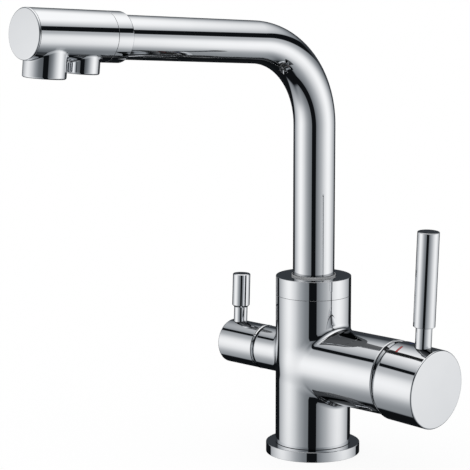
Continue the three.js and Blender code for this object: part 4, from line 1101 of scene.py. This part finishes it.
def shares(pairs, low, high):
    """Pairs of (place, shade) with the places as shares of a range."""
    return [((angle - low) / (high - low), shade) for angle, shade in pairs]


def by_angle(value, low, high, pairs):
    """A colour ramp over an angle: value is in radians, low, high and the pairs' places in degrees."""
    span = {"Value": value, "From Min": math.radians(low), "From Max": math.radians(high)}
    return ramp(tree, add_node(tree, "MapRange", span).outputs[0], shares(pairs, low, high))


ahead, aside, above = along(unit(0, 0)), along(unit(90, 0)), along((0, 0, 1))
azimuth = calculate("ARCTAN2", aside, ahead)
elevation = calculate("ARCSINE", above)
right_side = fade(aside, -0.05, 0.05)
side_slope = calculate("DIVIDE", above, calculate("MAXIMUM", calculate("ABSOLUTE", aside), 0.02))
print("tent directions:", len(tree.nodes), "nodes")

# %% Tent walls
walls = by_angle(azimuth, -180, 180, [
    (-140, 0.0), (-136, 0.27), (-128, 0.37), (-120, 0.48), (-112, 0.59), (-104, 0.71), (-96, 0.83),
    (-88, 0.935), (-81, 0.99), (-74, 0.97), (-66, 0.865), (-56, 0.71), (-48, 0.54), (-40, 0.41),
    (-32, 0.32), (-24, 0.245), (-9, 0.18), (9, 0.17), (16, 0.23), (26, 0.34), (40, 0.49), (56, 0.74),
    (70, 0.92), (80, 1.0), (90, 0.97), (98, 0.88), (106, 0.77), (118, 0.58), (128, 0.45), (138, 0.34),
    (144, 0.0),
])
downward = by_angle(elevation, -90, 0, [
    (-64, 0.0), (-60, 0.07), (-57, 0.13), (-53, 0.19), (-50, 0.225), (-48, 0.255), (-46, 0.29),
    (-44, 0.32), (-42, 0.355), (-40, 0.385), (-38, 0.42), (-36, 0.46), (-33.5, 0.52), (-31, 0.585),
    (-28, 0.67), (-24, 0.765), (-20, 0.86), (-12, 0.95), (-4, 1.0),
])
share_lost = calculate("MULTIPLY_ADD", walls, 0.8, 0.2)  # bright walls fade downward the most
kept = calculate("SUBTRACT", 1.0, calculate("MULTIPLY", share_lost, calculate("SUBTRACT", 1.0, downward)))
kept = calculate("MULTIPLY", kept, fade(elevation, math.radians(-67), math.radians(-59)))
print("tent walls:", len(tree.nodes), "nodes")

# %% Upper edges, slot and cloth
RIM_LEFT, RIM_RIGHT = 0.72, 0.545  # slopes of the walls' upper edges
rim_slope = calculate("MULTIPLY_ADD", right_side, RIM_RIGHT - RIM_LEFT, RIM_LEFT)
rim = calculate("MULTIPLY", rim_slope, calculate("MAXIMUM", calculate("ABSOLUTE", aside), 0.5))
UP_TO = 2  # the ramp ends at twice the edge's height
upward = ramp(tree, calculate("MULTIPLY", calculate("DIVIDE", above, rim), 1 / UP_TO), shares([
    (0.0, 1.0), (0.13, 0.975), (0.24, 0.93), (0.35, 0.86), (0.45, 0.76), (0.53, 0.68), (0.63, 0.57),
    (0.75, 0.51), (0.97, 0.47), (1.02, 0.0),
], 0, UP_TO))
camera_slot = fade(calculate("ABSOLUTE", calculate("ADD", aside, 0.03)), 0.185, 0.215)
cloth = fade(along(unit(183.5, -27)), 0.64, 0.70, 1.0, 0.0)
wall_light = calculate("MULTIPLY", walls, kept)
for part in (upward, camera_slot, cloth):
    wall_light = calculate("MULTIPLY", wall_light, part)
print("tent walls, slot and cloth:", len(tree.nodes), "nodes")

# %% [markdown]
# The card overhead is brightest straight above and a little behind. Its long edges are straight, so their
# mask asks for a certain slope to the side. Behind the tap a trace of light spills over the cloth.

# %% Card overhead
card_height = calculate("ARCSINE", along(unit(150, 87)))
card = by_angle(card_height, 20, 90, [
    (25, 0.0), (31, 0.12), (35, 0.22), (39, 0.28), (43, 0.39), (46.5, 0.5), (50, 0.6), (54, 0.72), (58, 0.84),
    (62, 0.95), (66, 1.02),
])
card_edge = calculate("MULTIPLY_ADD", right_side, 0.05, 0.91)
card = calculate("MULTIPLY", card, fade(calculate("SUBTRACT", side_slope, card_edge), -0.02, 0.02))
spill = calculate("MULTIPLY", fade(ahead, -0.6, -0.75, 0.0, 0.045), fade(elevation, -0.15, 0.08, 0.2, 1.0))
light = calculate("MAXIMUM", calculate("ADD", wall_light, card), spill)
light = calculate("MAXIMUM", light, 0.006)
tint = ramp(tree, light, [
    (0.0, (0.8, 0.93, 1.1)), (0.12, (0.9, 0.975, 1.05)), (0.5, (0.97, 0.995, 1.02)), (0.9, (1, 1, 1)),
])
print("tent with its card:", len(tree.nodes), "nodes")

# %% [markdown]
# Where one piece mirrors another, the photograph is much darker than this tent alone would make it. So
# light that has met metal twice is dimmed when it comes from above or from well below, and nearly gone
# when it comes from steeply above.

# %% Second mirror images
from_above = fade(elevation, 0.1, 0.35, 0.0, 0.8)
from_steep = fade(elevation, 0.9, 0.97, 0.0, 0.98)
from_below = fade(elevation, -0.6, -0.75, 0.0, 0.8)
dimmed = calculate("MAXIMUM", from_above, calculate("MAXIMUM", from_steep, from_below))
bounces = add_node(tree, "LightPath").outputs["Glossy Depth"]
lost = calculate("MULTIPLY", fade(bounces, 1, 2), dimmed)
light = calculate("MULTIPLY", light, calculate("SUBTRACT", 1.0, lost))
tinted = add_node(tree, "VectorMath", {0: tint, "Scale": light}, operation="SCALE").outputs[0]
glow = add_node(tree, "Emission", {"Color": tinted})
add_node(tree, "OutputMaterial", {"Surface": glow.outputs[0]})
tent_material.cycles.emission_sampling = "NONE"
print("tent material:", len(tree.nodes), "nodes")

# %% Tent ball
tent_mesh = bpy.data.meshes.new("tent")
ball = bmesh.new()
bmesh.ops.create_icosphere(ball, subdivisions=6, radius=TENT)
bmesh.ops.translate(ball, vec=(0, 0, TENT_HEIGHT), verts=ball.verts)
bmesh.ops.reverse_faces(ball, faces=ball.faces)
ball.to_mesh(tent_mesh)
ball.free()
tent_mesh.materials.append(tent_material)
tent = bpy.data.objects.new("tent", tent_mesh)
bpy.context.scene.collection.objects.link(tent)
tent.visible_camera = tent.visible_diffuse = tent.visible_shadow = False
tent.visible_transmission = tent.visible_volume_scatter = False
print("tent of", len(tent_mesh.polygons), "faces, radius", TENT, "m")

# %% [markdown]
# ## Floor and plain light
# The floor is plain white paper. An even white sky and one weak, very soft sun light everything that isn't a
# mirror, at the level where a colour looks as it is written. The picture was cut out almost to plain white,
# so most of the white the camera sees on the floor is its own, and only a trace of the shadow is left.
# Mirror rays go past the floor to the tent, because in the photograph the foot of the tap mirrors the tent
# and no white floor.

# %% Floor
OWN_GLOW = 0.9  # share of the floor's white that the camera sees whatever the shadow
paper = bpy.data.materials.new("white_paper")
paper.use_nodes = True
tree = paper.node_tree
shader = tree.nodes["Principled BSDF"]
seen = add_node(tree, "LightPath").outputs["Is Camera Ray"]
spots = add_node(tree, "TexNoise", {"Vector": add_node(tree, "TexCoord").outputs["Object"], "Scale": 3.0})
bounced = ramp(tree, spots.outputs[0], [(0.0, (0.93, 0.93, 0.93)), (1.0, (0.95, 0.95, 0.95))])
left_over = (1 - OWN_GLOW,) * 3 + (1,)
glowing = (OWN_GLOW,) * 3 + (1,)
shown = add_node(tree, "Mix", {"Factor": seen, 6: bounced, 7: left_over}, data_type="RGBA")
own = add_node(tree, "Mix", {"Factor": seen, 6: (0, 0, 0, 1), 7: glowing}, data_type="RGBA")
tree.links.new(shown.outputs[2], shader.inputs["Base Color"])
tree.links.new(own.outputs[2], shader.inputs["Emission Color"])
shader.inputs["Emission Strength"].default_value = 1.0
shader.inputs["Roughness"].default_value = 1.0
shader.inputs["Specular IOR Level"].default_value = 0.0
paper.cycles.emission_sampling = "NONE"
floor_mesh = bpy.data.meshes.new("floor")
sheet = bmesh.new()
bmesh.ops.create_grid(sheet, x_segments=1, y_segments=1, size=60)
sheet.to_mesh(floor_mesh)
sheet.free()
floor_mesh.materials.append(paper)
floor = bpy.data.objects.new("floor", floor_mesh)
bpy.context.scene.collection.objects.link(floor)
floor.visible_glossy = False
print("floor", [round(side) for side in floor.dimensions.xy], "m")

# %% Sky and sun
SKY_LIGHT = 0.94  # what lights the tap; camera and mirror rays see 1, plain white
SUN_SHARE = 0.07
sky = bpy.data.worlds.new("sky")
sky.use_nodes = True
tree = sky.node_tree
tree.nodes["Background"].inputs["Color"].default_value = (1, 1, 1, 1)
paths = add_node(tree, "LightPath").outputs
plain = paths["Is Camera Ray"]
for other in (paths["Is Glossy Ray"], paths["Is Transmission Ray"]):
    plain = add_node(tree, "Math", {0: plain, 1: other}, operation="MAXIMUM").outputs[0]
strength = add_node(tree, "MapRange", {"Value": plain, "To Min": SKY_LIGHT, "To Max": 1.0}).outputs[0]
tree.links.new(strength, tree.nodes["Background"].inputs["Strength"])
bpy.context.scene.world = sky
sun = bpy.data.objects.new("soft_sun", bpy.data.lights.new("soft_sun", "SUN"))
sun.data.angle = math.radians(60)
sun.data.energy = SUN_SHARE * math.pi
sun.rotation_euler = (math.radians(28), math.radians(-20), 0)
sun.visible_glossy = False
bpy.context.scene.collection.objects.link(sun)
print("sky and sun set")

# %% [markdown]
# ## Last update
# The view layer is brought up to date once all pieces are made. The finished tap has to fill the CAD
# model's box and no more.

# %% Update the view layer
bpy.context.view_layer.update()
